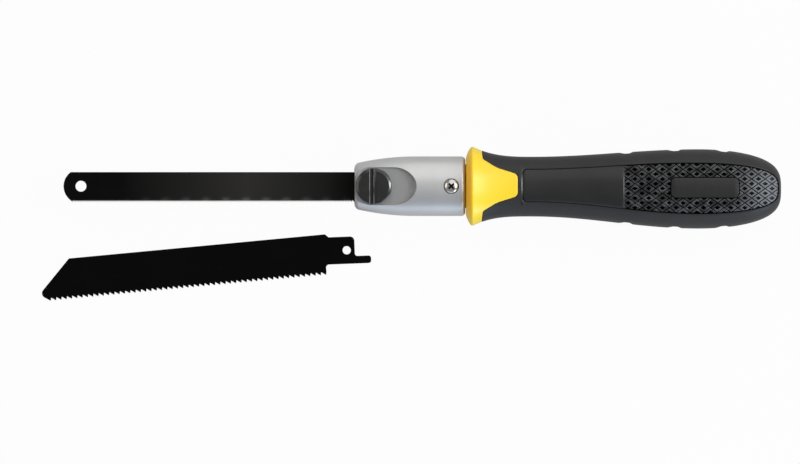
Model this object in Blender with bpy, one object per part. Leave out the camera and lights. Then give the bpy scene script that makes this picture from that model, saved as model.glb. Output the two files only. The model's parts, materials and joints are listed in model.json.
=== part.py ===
"""A hand saw that clamps different blades, lying on its side with its spare blade beside it.

Metres, +Z up. The saw points along -X. Lengths along the saw are given as "back": the distance behind the
shoulder, where the guard meets the clamp body, so places ahead of the shoulder are negative. Y = 0 is the
saw's axis, with the teeth towards -Y. The table is at Z = 0, and the world origin is the centre of the plaque
that the saw rests on.
"""

import math

import bmesh
import bpy
from mathutils import Vector

MM = 0.001

# Clearances
SEAT_GAP = 0.3 * MM  # between pieces that seat on or in each other
RUN_GAP = 0.2 * MM  # between pieces that move past each other

# Handle: shoulder, guard, waist, belly and butt
HANDLE_LENGTH = 144.9 * MM
GUARD_CREST = 3.1 * MM  # the guard's widest place, behind the shoulder
GUARD_HEIGHT = 36.4 * MM
WAIST_BACK = 30.0 * MM
WAIST_HEIGHT = 27.5 * MM
WAIST_THICKNESS = 24.4 * MM
WAIST_DROP = 0.2 * MM  # the handle's middle sinks below the saw's axis
BELLY_AHEAD_OF_BUTT = 37.9 * MM
BELLY_HEIGHT = 36.5 * MM
BELLY_THICKNESS = 31.4 * MM
BELLY_DROP = 1.25 * MM
LEVEL_AHEAD_OF_BELLY = 15.0 * MM  # the belly keeps its full thickness from here
LEVEL_BEHIND_BELLY = 19.0 * MM  # to here
FLARE_POWER = 3.0
BUTT_POWER = 3.3
HANDLE_SQUARENESS = 2.5

# Yellow core inside the grip: guard collar, tongue, bar and spigot
COLLAR_WIDTH = 3.8 * MM  # yellow band behind the guard's crest, at the handle's edges
COLLAR_SLOPE = 0.75 * MM  # and this much wider where the tongue starts
TONGUE_LIFT = 0.45 * MM  # the tongue's middle above the saw's axis
TONGUE_ROOT_HALF = 12.0 * MM
TONGUE_ROOT_ROUND = 1.6 * MM
TONGUE_BEND_LENGTH = 6.35 * MM  # its sides draw in fast from the root to here, then more gently
TONGUE_BEND_HALF = 8.05 * MM
TONGUE_BEND_ROUND = 14.0 * MM
TONGUE_LENGTH = 16.05 * MM
TONGUE_TIP_HALF = 5.0 * MM
TONGUE_CORNER = 2.5 * MM
GRIP_WALL = 4.6 * MM
BAR_OVERLAP = 1.9 * MM  # the bar starts this far inside the collar
SOCKET_WALL = 2.9 * MM  # left between the clamp body's flat and its socket
SPIGOT_WIDTH = 20.0 * MM
SPIGOT_THICKNESS = 14.0 * MM
SPIGOT_CORNER = 4.0 * MM

# Inlay panels, one in each face of the grip
PANEL_LEAD = 2.3 * MM  # grip left between the tongue and the panel
PANEL_TOP_MARGIN = 5.6 * MM
PANEL_TOP_DRAW = 0.6 * MM  # its top edge is drawn in by this much more at the belly
PANEL_BOTTOM_MARGIN = 6.6 * MM
PANEL_END_MARGIN = 1.1 * MM  # at the butt, seen from above
PANEL_CORNER = 1.8 * MM
PANEL_RECESS = 0.4 * MM
PANEL_DEPTH = 2.4 * MM
PANEL_LOWEST = 5.0 * MM  # where a panel rolls over the butt it stops this far from the middle plane
PLAQUE_BEHIND_BELLY = 2.7 * MM
PLAQUE_DROP = 0.7 * MM
PLAQUE_LENGTH = 31.0 * MM
PLAQUE_WIDTH = 9.0 * MM
PLAQUE_CORNER = 1.6 * MM
PLAQUE_RISE = 0.3 * MM  # the plaque stands proud of the grip's face
PLAQUE_ROOT = 1.2 * MM  # and is rooted this deep in the panel

# Finger scallops on the grip's two edges
SCALLOP_PITCH = 22.2 * MM
SCALLOP_COUNT = 3
SCALLOP_BEHIND_BELLY = 10.5 * MM  # the last one
SCALLOP_WIDTH = 6.4 * MM
SCALLOP_DEPTH = 0.7 * MM

# Clamp body
BODY_LENGTH = 51.3 * MM
BODY_HEIGHT = 27.4 * MM
BODY_THICKNESS = 22.4 * MM
NOSE_HEIGHT = 20.8 * MM
NOSE_TAPER = 28.0 * MM
NOSE_ROUND = 2.0 * MM
REAR_ROUND = 1.8 * MM
NOSE_STEP = 1.0 * MM  # the nose's crown above the flat that is cut into it
BODY_SQUARENESS = 2.3
SHOULDER_INSET = 0.3 * MM  # the guard's front face is this much smaller than the body's rear
FLAT_MARGIN = 0.45 * MM  # the flat is this much wider than the knob, each side
FLAT_LENGTH = 28.6 * MM
SLOT_DEPTH = 21.5 * MM
LOWER_JAW = 2.4 * MM  # the slot's floor below the saw's middle plane

# Clamp screw, its bush, and the plate that it presses on the blade
KNOB_BACK_OF_NOSE = 8.9 * MM
KNOB_DIAMETER = 16.5 * MM
KNOB_HEIGHT = 4.8 * MM
KNOB_CHAMFER = 1.3 * MM
KNOB_STANDOFF = 0.6 * MM  # left under the clamped knob, so that the plate bears first
COIN_SLOT_WIDTH = 2.6 * MM
COIN_SLOT_DEPTH = 1.7 * MM
STUD_DIAMETER = 6.0 * MM
SCREW_LIFT = 1.5 * MM
THREAD_WALL = 4.1 * MM
BUSH_WALL = 1.6 * MM
PLATE_LENGTH = 14.0 * MM
PLATE_THICKNESS = 2.2 * MM
PLATE_CORNER = 1.0 * MM
PIN_DIAMETER = 3.4 * MM
PIN_GROOVE = 2.2 * MM  # the diameter that the clip sits on
CLIP_DIAMETER = 6.0 * MM
CLIP_THICKNESS = 0.45 * MM

# Screw through the sleeve into the spigot
BODY_SCREW_AHEAD = 6.8 * MM
SCREW_HEAD_DIAMETER = 6.5 * MM
SCREW_HEAD_HEIGHT = 2.1 * MM
SCREW_RIM_HEIGHT = 0.735 * MM  # the head's upright rim, below its crown
SCREW_SHANK_DIAMETER = 3.4 * MM
SCREW_SHANK_LENGTH = 9.5 * MM
SPOTFACE_DEPTH = 1.0 * MM
RECESS_SPAN = 3.6 * MM
RECESS_WING = 0.75 * MM
RECESS_DEPTH = 1.3 * MM

# Hacksaw blade
HACK_REACH = 133.9 * MM  # what shows ahead of the clamp body
HACK_BACK_HALF = 6.5 * MM  # from the line of the holes to the back edge
HACK_TOOTH_HALF = 7.25 * MM  # and to the tips of the teeth
HACK_THICKNESS = 0.65 * MM
HACK_END_BULGE = 0.8 * MM  # the round ends are drawn about the holes, this much outside the wider side
HACK_HOLE = 5.0 * MM
HACK_PITCH = 1.235 * MM
HACK_TOOTH_DEPTH = 0.85 * MM
HACK_SET = 0.15 * MM
HACK_SET_BAND = 1.9 * MM
HACK_WAVE = 9.25 * MM
HACK_WAVE_SHARE = 0.36  # of a wave, from a crest of the set to the inner hole

# Spare blade, with its tip end and back edge as its own origin
SPARE_TIP_BACK = -196.7 * MM
SPARE_TIP_DROP = 34.53 * MM
SPARE_ANGLE = math.radians(5.38)
SPARE_LENGTH = 152.4 * MM
SPARE_WIDTH = 18.7 * MM
SPARE_THICKNESS = 0.9 * MM
SPARE_SLANT_BACK = 13.8 * MM  # where the slanted tip leaves the back edge
SPARE_NOSE_AHEAD = 1.64 * MM  # the nose's corner before it is rounded, ahead of the tip end
SPARE_NOSE_RISE = 3.0 * MM  # and above the tips of the teeth
SPARE_NOSE_ROUND = 2.3 * MM
SPARE_PITCH = 2.45 * MM
SPARE_TOOTH_DEPTH = 1.45 * MM
SPARE_TOOTH_FRONT = 1.53 * MM
SPARE_SET = 0.22 * MM
SPARE_SET_BAND = 2.2 * MM
SPARE_STEP_BACK = 0.9 * MM  # the back edge runs this far past the heel before it steps down
SHANK_STEP = 1.42 * MM  # the shank's upper edge below the back edge
SHANK_FOOT = 1.7 * MM  # where the step's foot meets the shank, behind the heel
SHANK_WIDTH = 12.56 * MM
SHANK_LENGTH = 13.55 * MM
SHANK_CANT = math.radians(3.2)
SHANK_ROUND = 1.4 * MM
SHANK_CORNER = 2.0 * MM
TANG_LENGTH = 7.42 * MM
TANG_WIDTH = 3.5 * MM
TANG_ROUND = 1.2 * MM
SPARE_HOLE = 3.8 * MM
SPARE_HOLE_BEHIND_HEEL = 9.86 * MM

# Facets
HANDLE_SIDES = 36
BAR_SIDES = 20
BODY_SIDES = 36
ROUND_SIDES = 32
SMALL_ROUND_SIDES = 20
ARC_STEP = math.radians(15)
SHARP_ANGLE = math.radians(32)

# Stations along the saw that follow from the sizes above
BELLY_BACK = HANDLE_LENGTH - BELLY_AHEAD_OF_BUTT
LEVEL_FRONT = BELLY_BACK - LEVEL_AHEAD_OF_BELLY
LEVEL_REAR = BELLY_BACK + LEVEL_BEHIND_BELLY
PLAQUE_BACK = BELLY_BACK + PLAQUE_BEHIND_BELLY
COLLAR_REAR = GUARD_CREST + COLLAR_WIDTH
TONGUE_ROOT_BACK = COLLAR_REAR + COLLAR_SLOPE
TONGUE_BEND_BACK = TONGUE_ROOT_BACK + TONGUE_BEND_LENGTH
TONGUE_TIP_BACK = TONGUE_ROOT_BACK + TONGUE_LENGTH
PANEL_FRONT = TONGUE_TIP_BACK + PANEL_LEAD
BAR_FRONT = COLLAR_REAR - BAR_OVERLAP
SPIGOT_LENGTH = BODY_LENGTH - FLAT_LENGTH - SOCKET_WALL - SEAT_GAP
NOSE_BACK = -BODY_LENGTH
KNOB_BACK = NOSE_BACK + KNOB_BACK_OF_NOSE
BODY_SCREW_BACK = -BODY_SCREW_AHEAD
SPARE_HEEL = SPARE_LENGTH - SHANK_LENGTH - TANG_LENGTH

# Widths and heights that follow, with heights measured from the saw's middle plane
FLAT_WIDTH = KNOB_DIAMETER + 2 * FLAT_MARGIN
SLOT_WIDTH = 2 * (HACK_TOOTH_HALF + RUN_GAP)
HACK_END_RADIUS = max(HACK_BACK_HALF, HACK_TOOTH_HALF) + HACK_END_BULGE
AXIS_HEIGHT = BELLY_THICKNESS / 2 + PLAQUE_RISE
BLADE_LIE = HACK_SET + RUN_GAP
SLOT_FLOOR = -LOWER_JAW
BLADE_FLOOR = SLOT_FLOOR + BLADE_LIE
PLATE_FLOOR = BLADE_FLOOR + HACK_THICKNESS + BLADE_LIE
PLATE_TOP = PLATE_FLOOR + PLATE_THICKNESS
SLOT_CEILING = PLATE_TOP + SCREW_LIFT + RUN_GAP
FLAT_FLOOR = SLOT_CEILING + THREAD_WALL
KNOB_FLOOR = FLAT_FLOOR + KNOB_STANDOFF
SCREW_SEAT = BODY_THICKNESS / 2 - SPOTFACE_DEPTH

# Finishes: colour, roughness, metallic
SATIN_ALLOY = ((0.60, 0.61, 0.62), 0.36, 1.0)
BLACK_OXIDE = ((0.012, 0.012, 0.010), 0.38, 0.6)
DARK_STEEL = ((0.030, 0.030, 0.031), 0.30, 0.7)
BRIGHT_NICKEL = ((0.70, 0.69, 0.66), 0.20, 1.0)
ZINC_STEEL = ((0.45, 0.46, 0.47), 0.35, 1.0)
YELLOW_PLASTIC = ((0.90, 0.63, 0.02), 0.34, 0.0)
DARK_RUBBER = ((0.042, 0.043, 0.044), 0.62, 0.0)
DARK_PLASTIC = ((0.030, 0.032, 0.033), 0.45, 0.0)


def mix(a, b, share):
    return a + (b - a) * share


def ease(share):
    return (1 - math.cos(math.pi * share)) / 2


def arc(centre, radius, start, end):
    """Points on a circle from one angle to another, both included."""
    steps = max(1, math.ceil(abs(end - start) / ARC_STEP))
    angles = [mix(start, end, k / steps) for k in range(steps + 1)]
    return [(centre[0] + radius * math.cos(a), centre[1] + radius * math.sin(a)) for a in angles]


def rounded(corners):
    """An outline whose corners (x, y, radius) are rounded by arcs."""
    outline = []
    for k, (x, y, radius) in enumerate(corners):
        here = Vector((x, y))
        before = Vector(corners[k - 1][:2]) - here
        after = Vector(corners[(k + 1) % len(corners)][:2]) - here
        if radius <= 0:
            outline.append((x, y))
            continue
        half_angle = before.angle(after) / 2
        bisector = (before.normalized() + after.normalized()).normalized()
        centre = here + bisector * (radius / math.sin(half_angle))
        first = here + before.normalized() * (radius / math.tan(half_angle)) - centre
        last = here + after.normalized() * (radius / math.tan(half_angle)) - centre
        start = math.atan2(first.y, first.x)
        turn = math.atan2(first.x * last.y - first.y * last.x, first.dot(last))
        outline += arc(centre, radius, start, start + turn)
    return outline


def new_object(name, bm):
    bmesh.ops.recalc_face_normals(bm, faces=bm.faces)
    mesh = bpy.data.meshes.new(name)
    bm.to_mesh(mesh)
    bm.free()
    thing = bpy.data.objects.new(name, mesh)
    bpy.context.scene.collection.objects.link(thing)
    return thing


def loft(name, rings):
    """A closed skin over rings of equal count; a ring of one point is a pole."""
    bm = bmesh.new()
    loops = [[bm.verts.new(point) for point in ring] for ring in rings]
    for near, far in zip(loops, loops[1:]):
        count = len(near)
        for k in range(count):
            after = (k + 1) % count
            if len(far) == 1:
                bm.faces.new((near[k], near[after], far[0]))
            else:
                bm.faces.new((near[k], near[after], far[after], far[k]))
    for end in (loops[0], loops[-1]):
        if len(end) > 1:
            bm.faces.new(end)
    return new_object(name, bm)


def prism(name, outline, low, high):
    """An outline in the XY plane, extruded between two heights over the saw's middle plane."""
    levels = (AXIS_HEIGHT + low, AXIS_HEIGHT + high)
    return loft(name, [[(x, y, z) for x, y in outline] for z in levels])


def disc(name, centre, diameter, low, high, sides=ROUND_SIDES):
    turns = [2 * math.pi * k / sides for k in range(sides)]
    outline = [
        (centre[0] + diameter / 2 * math.cos(a), centre[1] + diameter / 2 * math.sin(a)) for a in turns
    ]
    return prism(name, outline, low, high)


def turned(name, centre, profile, sides=ROUND_SIDES):
    """A solid of revolution about an upright line; the profile runs (radius, height) from end to end."""
    bm = bmesh.new()
    points = [bm.verts.new((radius, 0, AXIS_HEIGHT + height)) for radius, height in profile]
    edges = [bm.edges.new(pair) for pair in zip(points, points[1:])]
    if profile[0][0] > 0:
        edges.append(bm.edges.new((points[-1], points[0])))
    spun = points + edges
    bmesh.ops.spin(bm, geom=spun, axis=(0, 0, 1), angle=2 * math.pi, steps=sides, use_merge=True)
    bmesh.ops.remove_doubles(bm, verts=bm.verts, dist=0.001 * MM)
    bmesh.ops.translate(bm, verts=bm.verts, vec=(centre[0], centre[1], 0))
    return new_object(name, bm)


def combine(target, other, operation):
    """Joins, cuts or intersects, and takes the other solid away."""
    step = target.modifiers.new(operation.title(), "BOOLEAN")
    step.operation = operation
    step.solver = "EXACT"
    step.object = other
    bpy.context.view_layer.update()
    result = target.evaluated_get(bpy.context.evaluated_depsgraph_get())
    mesh = bpy.data.meshes.new_from_object(result)
    target.modifiers.clear()
    target.data = mesh
    bpy.data.objects.remove(other)
    return target


def cut(target, other):
    return combine(target, other, "DIFFERENCE")


def join(target, other):
    return combine(target, other, "UNION")


def keep(target, other):
    return combine(target, other, "INTERSECT")


def finish(thing, parent, look, origin=None):
    """Names the mesh, sets its origin, material and shading, and hangs it on the parent."""
    colour, roughness, metallic = look
    mesh = thing.data
    mesh.name = thing.name
    if origin is not None:
        for vertex in mesh.vertices:
            vertex.co -= Vector(origin)
        thing.location = origin
    material = bpy.data.materials.new(thing.name)
    material.use_nodes = True
    shader = material.node_tree.nodes["Principled BSDF"]
    shader.inputs["Base Color"].default_value = (*colour, 1)
    shader.inputs["Roughness"].default_value = roughness
    shader.inputs["Metallic"].default_value = metallic
    mesh.materials.clear()
    mesh.materials.append(material)
    mesh.shade_smooth()
    mesh.set_sharp_from_angle(angle=SHARP_ANGLE)
    thing.parent = parent
    return thing


def oval_ring(back, up, down, half_thickness, squareness, sides):
    """One cross-section: a superellipse with its own half-height above and below the axis."""
    ring = []
    for k in range(sides):
        angle = 2 * math.pi * k / sides
        across, over = math.cos(angle), math.sin(angle)
        across = math.copysign(abs(across) ** (2 / squareness), across)
        over = math.copysign(abs(over) ** (2 / squareness), over)
        y = across * (up if across > 0 else down)
        ring.append((back, y, AXIS_HEIGHT + over * half_thickness))
    return ring


def handle_size(back, inset):
    """Half-heights above and below the axis, and half-thickness, of the handle's skin or one inset from it."""
    butt = HANDLE_LENGTH - inset
    shoulder = (BODY_HEIGHT / 2 - SHOULDER_INSET, BODY_THICKNESS / 2 - SHOULDER_INSET)
    guard = (GUARD_HEIGHT / 2, AXIS_HEIGHT)
    waist = (WAIST_HEIGHT / 2, WAIST_THICKNESS / 2)
    belly = (BELLY_HEIGHT / 2 - inset, BELLY_THICKNESS / 2 - inset)
    if back <= GUARD_CREST:
        rise = 1 - (1 - back / GUARD_CREST) ** 2
        height, thickness = (mix(a, b, rise) - inset for a, b in zip(shoulder, guard))
        drop = 0
    elif back <= WAIST_BACK:
        share = (back - GUARD_CREST) / (WAIST_BACK - GUARD_CREST)
        flare = (1 - share) ** FLARE_POWER
        height, thickness = (mix(a, b, flare) - inset for a, b in zip(waist, guard))
        drop = WAIST_DROP * ease(share)
    else:
        swell = ease(min(1, (back - WAIST_BACK) / (BELLY_BACK - WAIST_BACK)))
        fill = ease(min(1, (back - WAIST_BACK) / (LEVEL_FRONT - WAIST_BACK)))
        close = max(0, (back - BELLY_BACK) / (butt - BELLY_BACK))
        thin = max(0, (back - LEVEL_REAR) / (butt - LEVEL_REAR))
        height = mix(waist[0] - inset, belly[0], swell) * (1 - close**2) ** (1 / BUTT_POWER)
        thickness = mix(waist[1] - inset, belly[1], fill) * (1 - thin**2) ** (1 / BUTT_POWER)
        drop = mix(WAIST_DROP, BELLY_DROP, swell)
    return height - drop, height + drop, thickness


def butt_backs(butt):
    """Stations over a rounded butt, closer together towards its end."""
    turns = (9, 18, 27, 36, 46, 56, 66, 75, 82)
    return [mix(BELLY_BACK, butt, math.sin(math.radians(turn))) for turn in turns]


def handle_skin(name, inset, front, sides):
    """The handle's outer skin, or one inset from it, from a station back to the butt."""
    crest = [GUARD_CREST * share for share in (0, 0.18, 0.4, 0.68, 1)]
    flare = [mix(GUARD_CREST, WAIST_BACK, share) for share in (0.08, 0.18, 0.3, 0.45, 0.7)]
    swell = [mix(WAIST_BACK, BELLY_BACK, k / 9) for k in range(10)]
    butt = HANDLE_LENGTH - inset
    backs = [back for back in crest + flare + swell + butt_backs(butt) if back > front + RUN_GAP]
    rings = []
    for back in [front, *backs]:
        rings.append(oval_ring(back, *handle_size(back, inset), HANDLE_SQUARENESS, sides))
    rings.append([(butt, -BELLY_DROP, AXIS_HEIGHT)])
    return loft(name, rings)


def yellow_zone(name, grow):
    """The region, seen from above, where the yellow core shows: the collar and its tongue."""
    side = GUARD_HEIGHT
    tongue = [
        (TONGUE_ROOT_BACK, TONGUE_ROOT_HALF, TONGUE_ROOT_ROUND),
        (TONGUE_BEND_BACK, TONGUE_BEND_HALF, TONGUE_BEND_ROUND),
        (TONGUE_TIP_BACK, TONGUE_TIP_HALF, TONGUE_CORNER),
    ]
    edge = GUARD_HEIGHT / 2
    lower = [(-side, -side, 0), (COLLAR_REAR + grow, -side, 0), (COLLAR_REAR + grow, -edge, 0)]
    lower += [(back + grow, TONGUE_LIFT - half - grow, radius) for back, half, radius in tongue]
    upper = [(-side, side, 0), (COLLAR_REAR + grow, side, 0), (COLLAR_REAR + grow, edge, 0)]
    upper += [(back + grow, TONGUE_LIFT + half + grow, radius) for back, half, radius in tongue]
    return prism(name, rounded(lower + upper[::-1]), -side, side)


def box_outline(front, rear, half_width, corner, middle=0):
    return rounded(
        [
            (front, middle - half_width, corner),
            (rear, middle - half_width, corner),
            (rear, middle + half_width, corner),
            (front, middle + half_width, corner),
        ]
    )


def spigot_solid(name, front, rear, grow):
    """The rounded bar between handle and clamp body, as a loft along the saw."""
    outline = box_outline(
        -SPIGOT_THICKNESS / 2 - grow, SPIGOT_THICKNESS / 2 + grow, SPIGOT_WIDTH / 2 + grow, SPIGOT_CORNER
    )
    rings = [[(back, y, AXIS_HEIGHT + over) for over, y in outline] for back in (front, rear)]
    return loft(name, rings)


def panel_outline(shrink):
    """The inlay's outline: the handle's outline drawn in by a margin, with a square front and a round rear."""
    top, bottom = [], []
    for share in [k / 10 for k in range(11)]:
        back = mix(PANEL_FRONT + shrink, BELLY_BACK, share)
        up, down, _ = handle_size(back, 0)
        top.append((back, up - PANEL_TOP_MARGIN - PANEL_TOP_DRAW * share**2 - shrink, 0))
        bottom.append((back, -down + PANEL_BOTTOM_MARGIN + shrink, 0))
    top[0] = (*top[0][:2], PANEL_CORNER)
    bottom[0] = (*bottom[0][:2], PANEL_CORNER)
    high, low = top[-1][1], bottom[-1][1]
    end = HANDLE_LENGTH - PANEL_END_MARGIN - shrink
    for back in butt_backs(end):
        close = (back - BELLY_BACK) / (end - BELLY_BACK)
        half = (high - low) / 2 * (1 - close**2) ** (1 / BUTT_POWER)
        top.append((back, (high + low) / 2 + half, 0))
        bottom.append((back, (high + low) / 2 - half, 0))
    return rounded(top + [(end, (high + low) / 2, 0)] + bottom[::-1])


def make_inlay(name, parent, side):
    """A hard panel let into one face of the grip, with a flat plaque on it."""
    reach = (side * PANEL_LOWEST, side * GUARD_HEIGHT)
    inlay = prism(name, panel_outline(SEAT_GAP), min(reach), max(reach))
    keep(inlay, handle_skin("panel_face", PANEL_RECESS, BAR_FRONT, HANDLE_SIDES))
    cut(inlay, handle_skin("panel_back", PANEL_RECESS + PANEL_DEPTH, BAR_FRONT, BAR_SIDES))
    plaque = box_outline(
        PLAQUE_BACK - PLAQUE_LENGTH / 2,
        PLAQUE_BACK + PLAQUE_LENGTH / 2,
        PLAQUE_WIDTH / 2,
        PLAQUE_CORNER,
        -PLAQUE_DROP,
    )
    levels = (side * AXIS_HEIGHT, side * (BELLY_THICKNESS / 2 - PANEL_RECESS - PLAQUE_ROOT))
    join(inlay, prism("plaque", plaque, min(levels), max(levels)))
    finish(inlay, parent, DARK_PLASTIC)


def make_grip(parent):
    """The soft sleeve moulded over the core, with pockets for the inlays and scallops on its edges."""
    grip = handle_skin("grip_sleeve", 0, 0, HANDLE_SIDES)
    cut(grip, yellow_zone("collar_room", SEAT_GAP))
    cut(grip, handle_skin("bar_room", GRIP_WALL - SEAT_GAP, BAR_FRONT - SEAT_GAP, BAR_SIDES))
    for side in (1, -1):
        reach = (side * (PANEL_LOWEST - SEAT_GAP), side * GUARD_HEIGHT)
        pocket = prism("panel_room", panel_outline(0), min(reach), max(reach))
        floor = PANEL_RECESS + PANEL_DEPTH + SEAT_GAP
        cut(pocket, handle_skin("pocket_floor", floor, BAR_FRONT, BAR_SIDES))
        cut(grip, pocket)
    radius = (SCALLOP_WIDTH**2 / 4 + SCALLOP_DEPTH**2) / (2 * SCALLOP_DEPTH)
    for k in range(SCALLOP_COUNT):
        back = BELLY_BACK + SCALLOP_BEHIND_BELLY - k * SCALLOP_PITCH
        up, down, _ = handle_size(back, 0)
        for edge, side in ((up, 1), (-down, -1)):
            middle = (back, edge + side * (radius - SCALLOP_DEPTH))
            reach = BELLY_THICKNESS / 2
            cut(grip, disc("scallop", middle, 2 * radius, -reach, reach))
    finish(grip, parent, DARK_RUBBER)


def make_core(parent):
    """The hard yellow core: guard and tongue at the surface, a bar inside the grip, a spigot ahead of it."""
    core = handle_skin("handle_core", 0, 0, HANDLE_SIDES)
    keep(core, yellow_zone("collar_shape", 0))
    join(core, handle_skin("bar", GRIP_WALL, BAR_FRONT, BAR_SIDES))
    join(core, spigot_solid("spigot", -SPIGOT_LENGTH, GUARD_CREST, 0))
    pilot_floor = SCREW_SEAT - SCREW_SHANK_LENGTH - SEAT_GAP
    pilot = SCREW_SHANK_DIAMETER + 2 * SEAT_GAP
    cut(core, disc("pilot", (BODY_SCREW_BACK, 0), pilot, pilot_floor, SCREW_SEAT, SMALL_ROUND_SIDES))
    finish(core, parent, YELLOW_PLASTIC)


def body_size(from_nose):
    """Half-height and half-thickness of the clamp body; both swell from the nose and then run level."""
    swell = 1 - (1 - min(1, from_nose / NOSE_TAPER)) ** 2
    nose_half = FLAT_FLOOR + NOSE_STEP
    return mix(NOSE_HEIGHT / 2, BODY_HEIGHT / 2, swell), mix(nose_half, BODY_THICKNESS / 2, swell)


def make_clamp_body(parent):
    """The cast sleeve: blade slot and flat at the nose, bush bore in the upper wall, socket at the rear."""
    rear = BODY_LENGTH - SEAT_GAP
    turns = [math.radians(turn) for turn in (0, 30, 60, 90)]
    stations = [(NOSE_ROUND * (1 - math.cos(a)), NOSE_ROUND * (1 - math.sin(a))) for a in turns]
    stations += [(mix(NOSE_ROUND, NOSE_TAPER, k / 6), 0) for k in range(1, 7)]
    stations += [
        (rear - REAR_ROUND * (1 - math.cos(a)), REAR_ROUND * (1 - math.sin(a))) for a in reversed(turns)
    ]
    rings = []
    for from_nose, inset in stations:
        height, thickness = (size - inset for size in body_size(from_nose))
        back = NOSE_BACK + from_nose
        rings.append(oval_ring(back, height, height, thickness, BODY_SQUARENESS, BODY_SIDES))
    body = loft("clamp_body", rings)

    ahead = NOSE_BACK - BODY_HEIGHT
    flat_rear = NOSE_BACK + FLAT_LENGTH
    half = FLAT_WIDTH / 2
    flat = [(ahead, -half), *arc((flat_rear - half, 0), half, -math.pi / 2, math.pi / 2), (ahead, half)]
    cut(body, prism("flat", flat, FLAT_FLOOR, BODY_THICKNESS))
    slot = box_outline(ahead, NOSE_BACK + SLOT_DEPTH, SLOT_WIDTH / 2, PLATE_CORNER)
    cut(body, prism("slot", slot, SLOT_FLOOR, SLOT_CEILING))
    bore = STUD_DIAMETER + 2 * (RUN_GAP + BUSH_WALL + SEAT_GAP)
    cut(body, disc("bush_bore", (KNOB_BACK, 0), bore, SLOT_CEILING - SEAT_GAP, BODY_THICKNESS))
    cut(body, spigot_solid("socket", -SPIGOT_LENGTH - SEAT_GAP, GUARD_CREST, SEAT_GAP))
    through = SCREW_SHANK_DIAMETER + 2 * SEAT_GAP
    cut(body, disc("through", (BODY_SCREW_BACK, 0), through, 0, BODY_THICKNESS, SMALL_ROUND_SIDES))
    spot = SCREW_HEAD_DIAMETER + 2 * SEAT_GAP
    cut(body, disc("spotface", (BODY_SCREW_BACK, 0), spot, SCREW_SEAT - SEAT_GAP, BODY_THICKNESS))
    finish(body, parent, SATIN_ALLOY)


def make_thread_bush(parent):
    """The tapped bush in the sleeve's upper wall."""
    inner = STUD_DIAMETER / 2 + RUN_GAP
    outer = inner + BUSH_WALL
    low, high = SLOT_CEILING, FLAT_FLOOR
    profile = [(outer, high), (outer, low), (inner, low), (inner, high)]
    finish(turned("thread_bush", (KNOB_BACK, 0), profile), parent, ZINC_STEEL)


def make_clamp_screw(parent):
    """The knob with its coin slot, its stud, and the grooved pin that carries the pressure plate."""
    knob = KNOB_DIAMETER / 2
    stud = STUD_DIAMETER / 2
    top = KNOB_FLOOR + KNOB_HEIGHT
    clip_top = PLATE_FLOOR + 2 * RUN_GAP + CLIP_THICKNESS
    profile = [
        (0, top),
        (knob - KNOB_CHAMFER, top),
        (knob, top - KNOB_CHAMFER),
        (knob, KNOB_FLOOR),
        (stud, KNOB_FLOOR),
        (stud, PLATE_TOP + RUN_GAP),
        (PIN_DIAMETER / 2, PLATE_TOP + RUN_GAP),
        (PIN_DIAMETER / 2, clip_top + RUN_GAP),
        (PIN_GROOVE / 2, clip_top + RUN_GAP),
        (PIN_GROOVE / 2, PLATE_FLOOR + RUN_GAP),
        (0, PLATE_FLOOR + RUN_GAP),
    ]
    screw = turned("clamp_screw", (KNOB_BACK, 0), profile)
    coin = box_outline(
        KNOB_BACK - COIN_SLOT_WIDTH / 2, KNOB_BACK + COIN_SLOT_WIDTH / 2, KNOB_DIAMETER, 0
    )
    cut(screw, prism("coin_slot", coin, top - COIN_SLOT_DEPTH, top + KNOB_HEIGHT))
    finish(screw, parent, DARK_STEEL, (KNOB_BACK, 0, AXIS_HEIGHT))


def make_retaining_clip(parent):
    """The washer pushed on to the pin's groove, inside the plate's counterbore."""
    low = PLATE_FLOOR + 2 * RUN_GAP
    high = low + CLIP_THICKNESS
    inner = PIN_GROOVE / 2 + RUN_GAP
    outer = CLIP_DIAMETER / 2
    profile = [(outer, high), (outer, low), (inner, low), (inner, high)]
    clip = turned("retaining_clip", (KNOB_BACK, 0), profile, SMALL_ROUND_SIDES)
    finish(clip, parent, ZINC_STEEL, (KNOB_BACK, 0, AXIS_HEIGHT))


def make_pressure_plate(parent):
    """The plate that the stud presses on the blade; its counterbore hides the clip."""
    outline = box_outline(
        KNOB_BACK - PLATE_LENGTH / 2, KNOB_BACK + PLATE_LENGTH / 2, SLOT_WIDTH / 2 - RUN_GAP, PLATE_CORNER
    )
    plate = prism("pressure_plate", outline, PLATE_FLOOR, PLATE_TOP)
    hole = PIN_DIAMETER + 2 * RUN_GAP
    cut(plate, disc("pin_hole", (KNOB_BACK, 0), hole, SLOT_FLOOR, SLOT_CEILING, SMALL_ROUND_SIDES))
    bore_top = PLATE_FLOOR + 3 * RUN_GAP + CLIP_THICKNESS
    bore = CLIP_DIAMETER + 2 * RUN_GAP
    cut(plate, disc("counterbore", (KNOB_BACK, 0), bore, SLOT_FLOOR, bore_top, SMALL_ROUND_SIDES))
    finish(plate, parent, ZINC_STEEL, (KNOB_BACK, 0, AXIS_HEIGHT))


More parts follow.
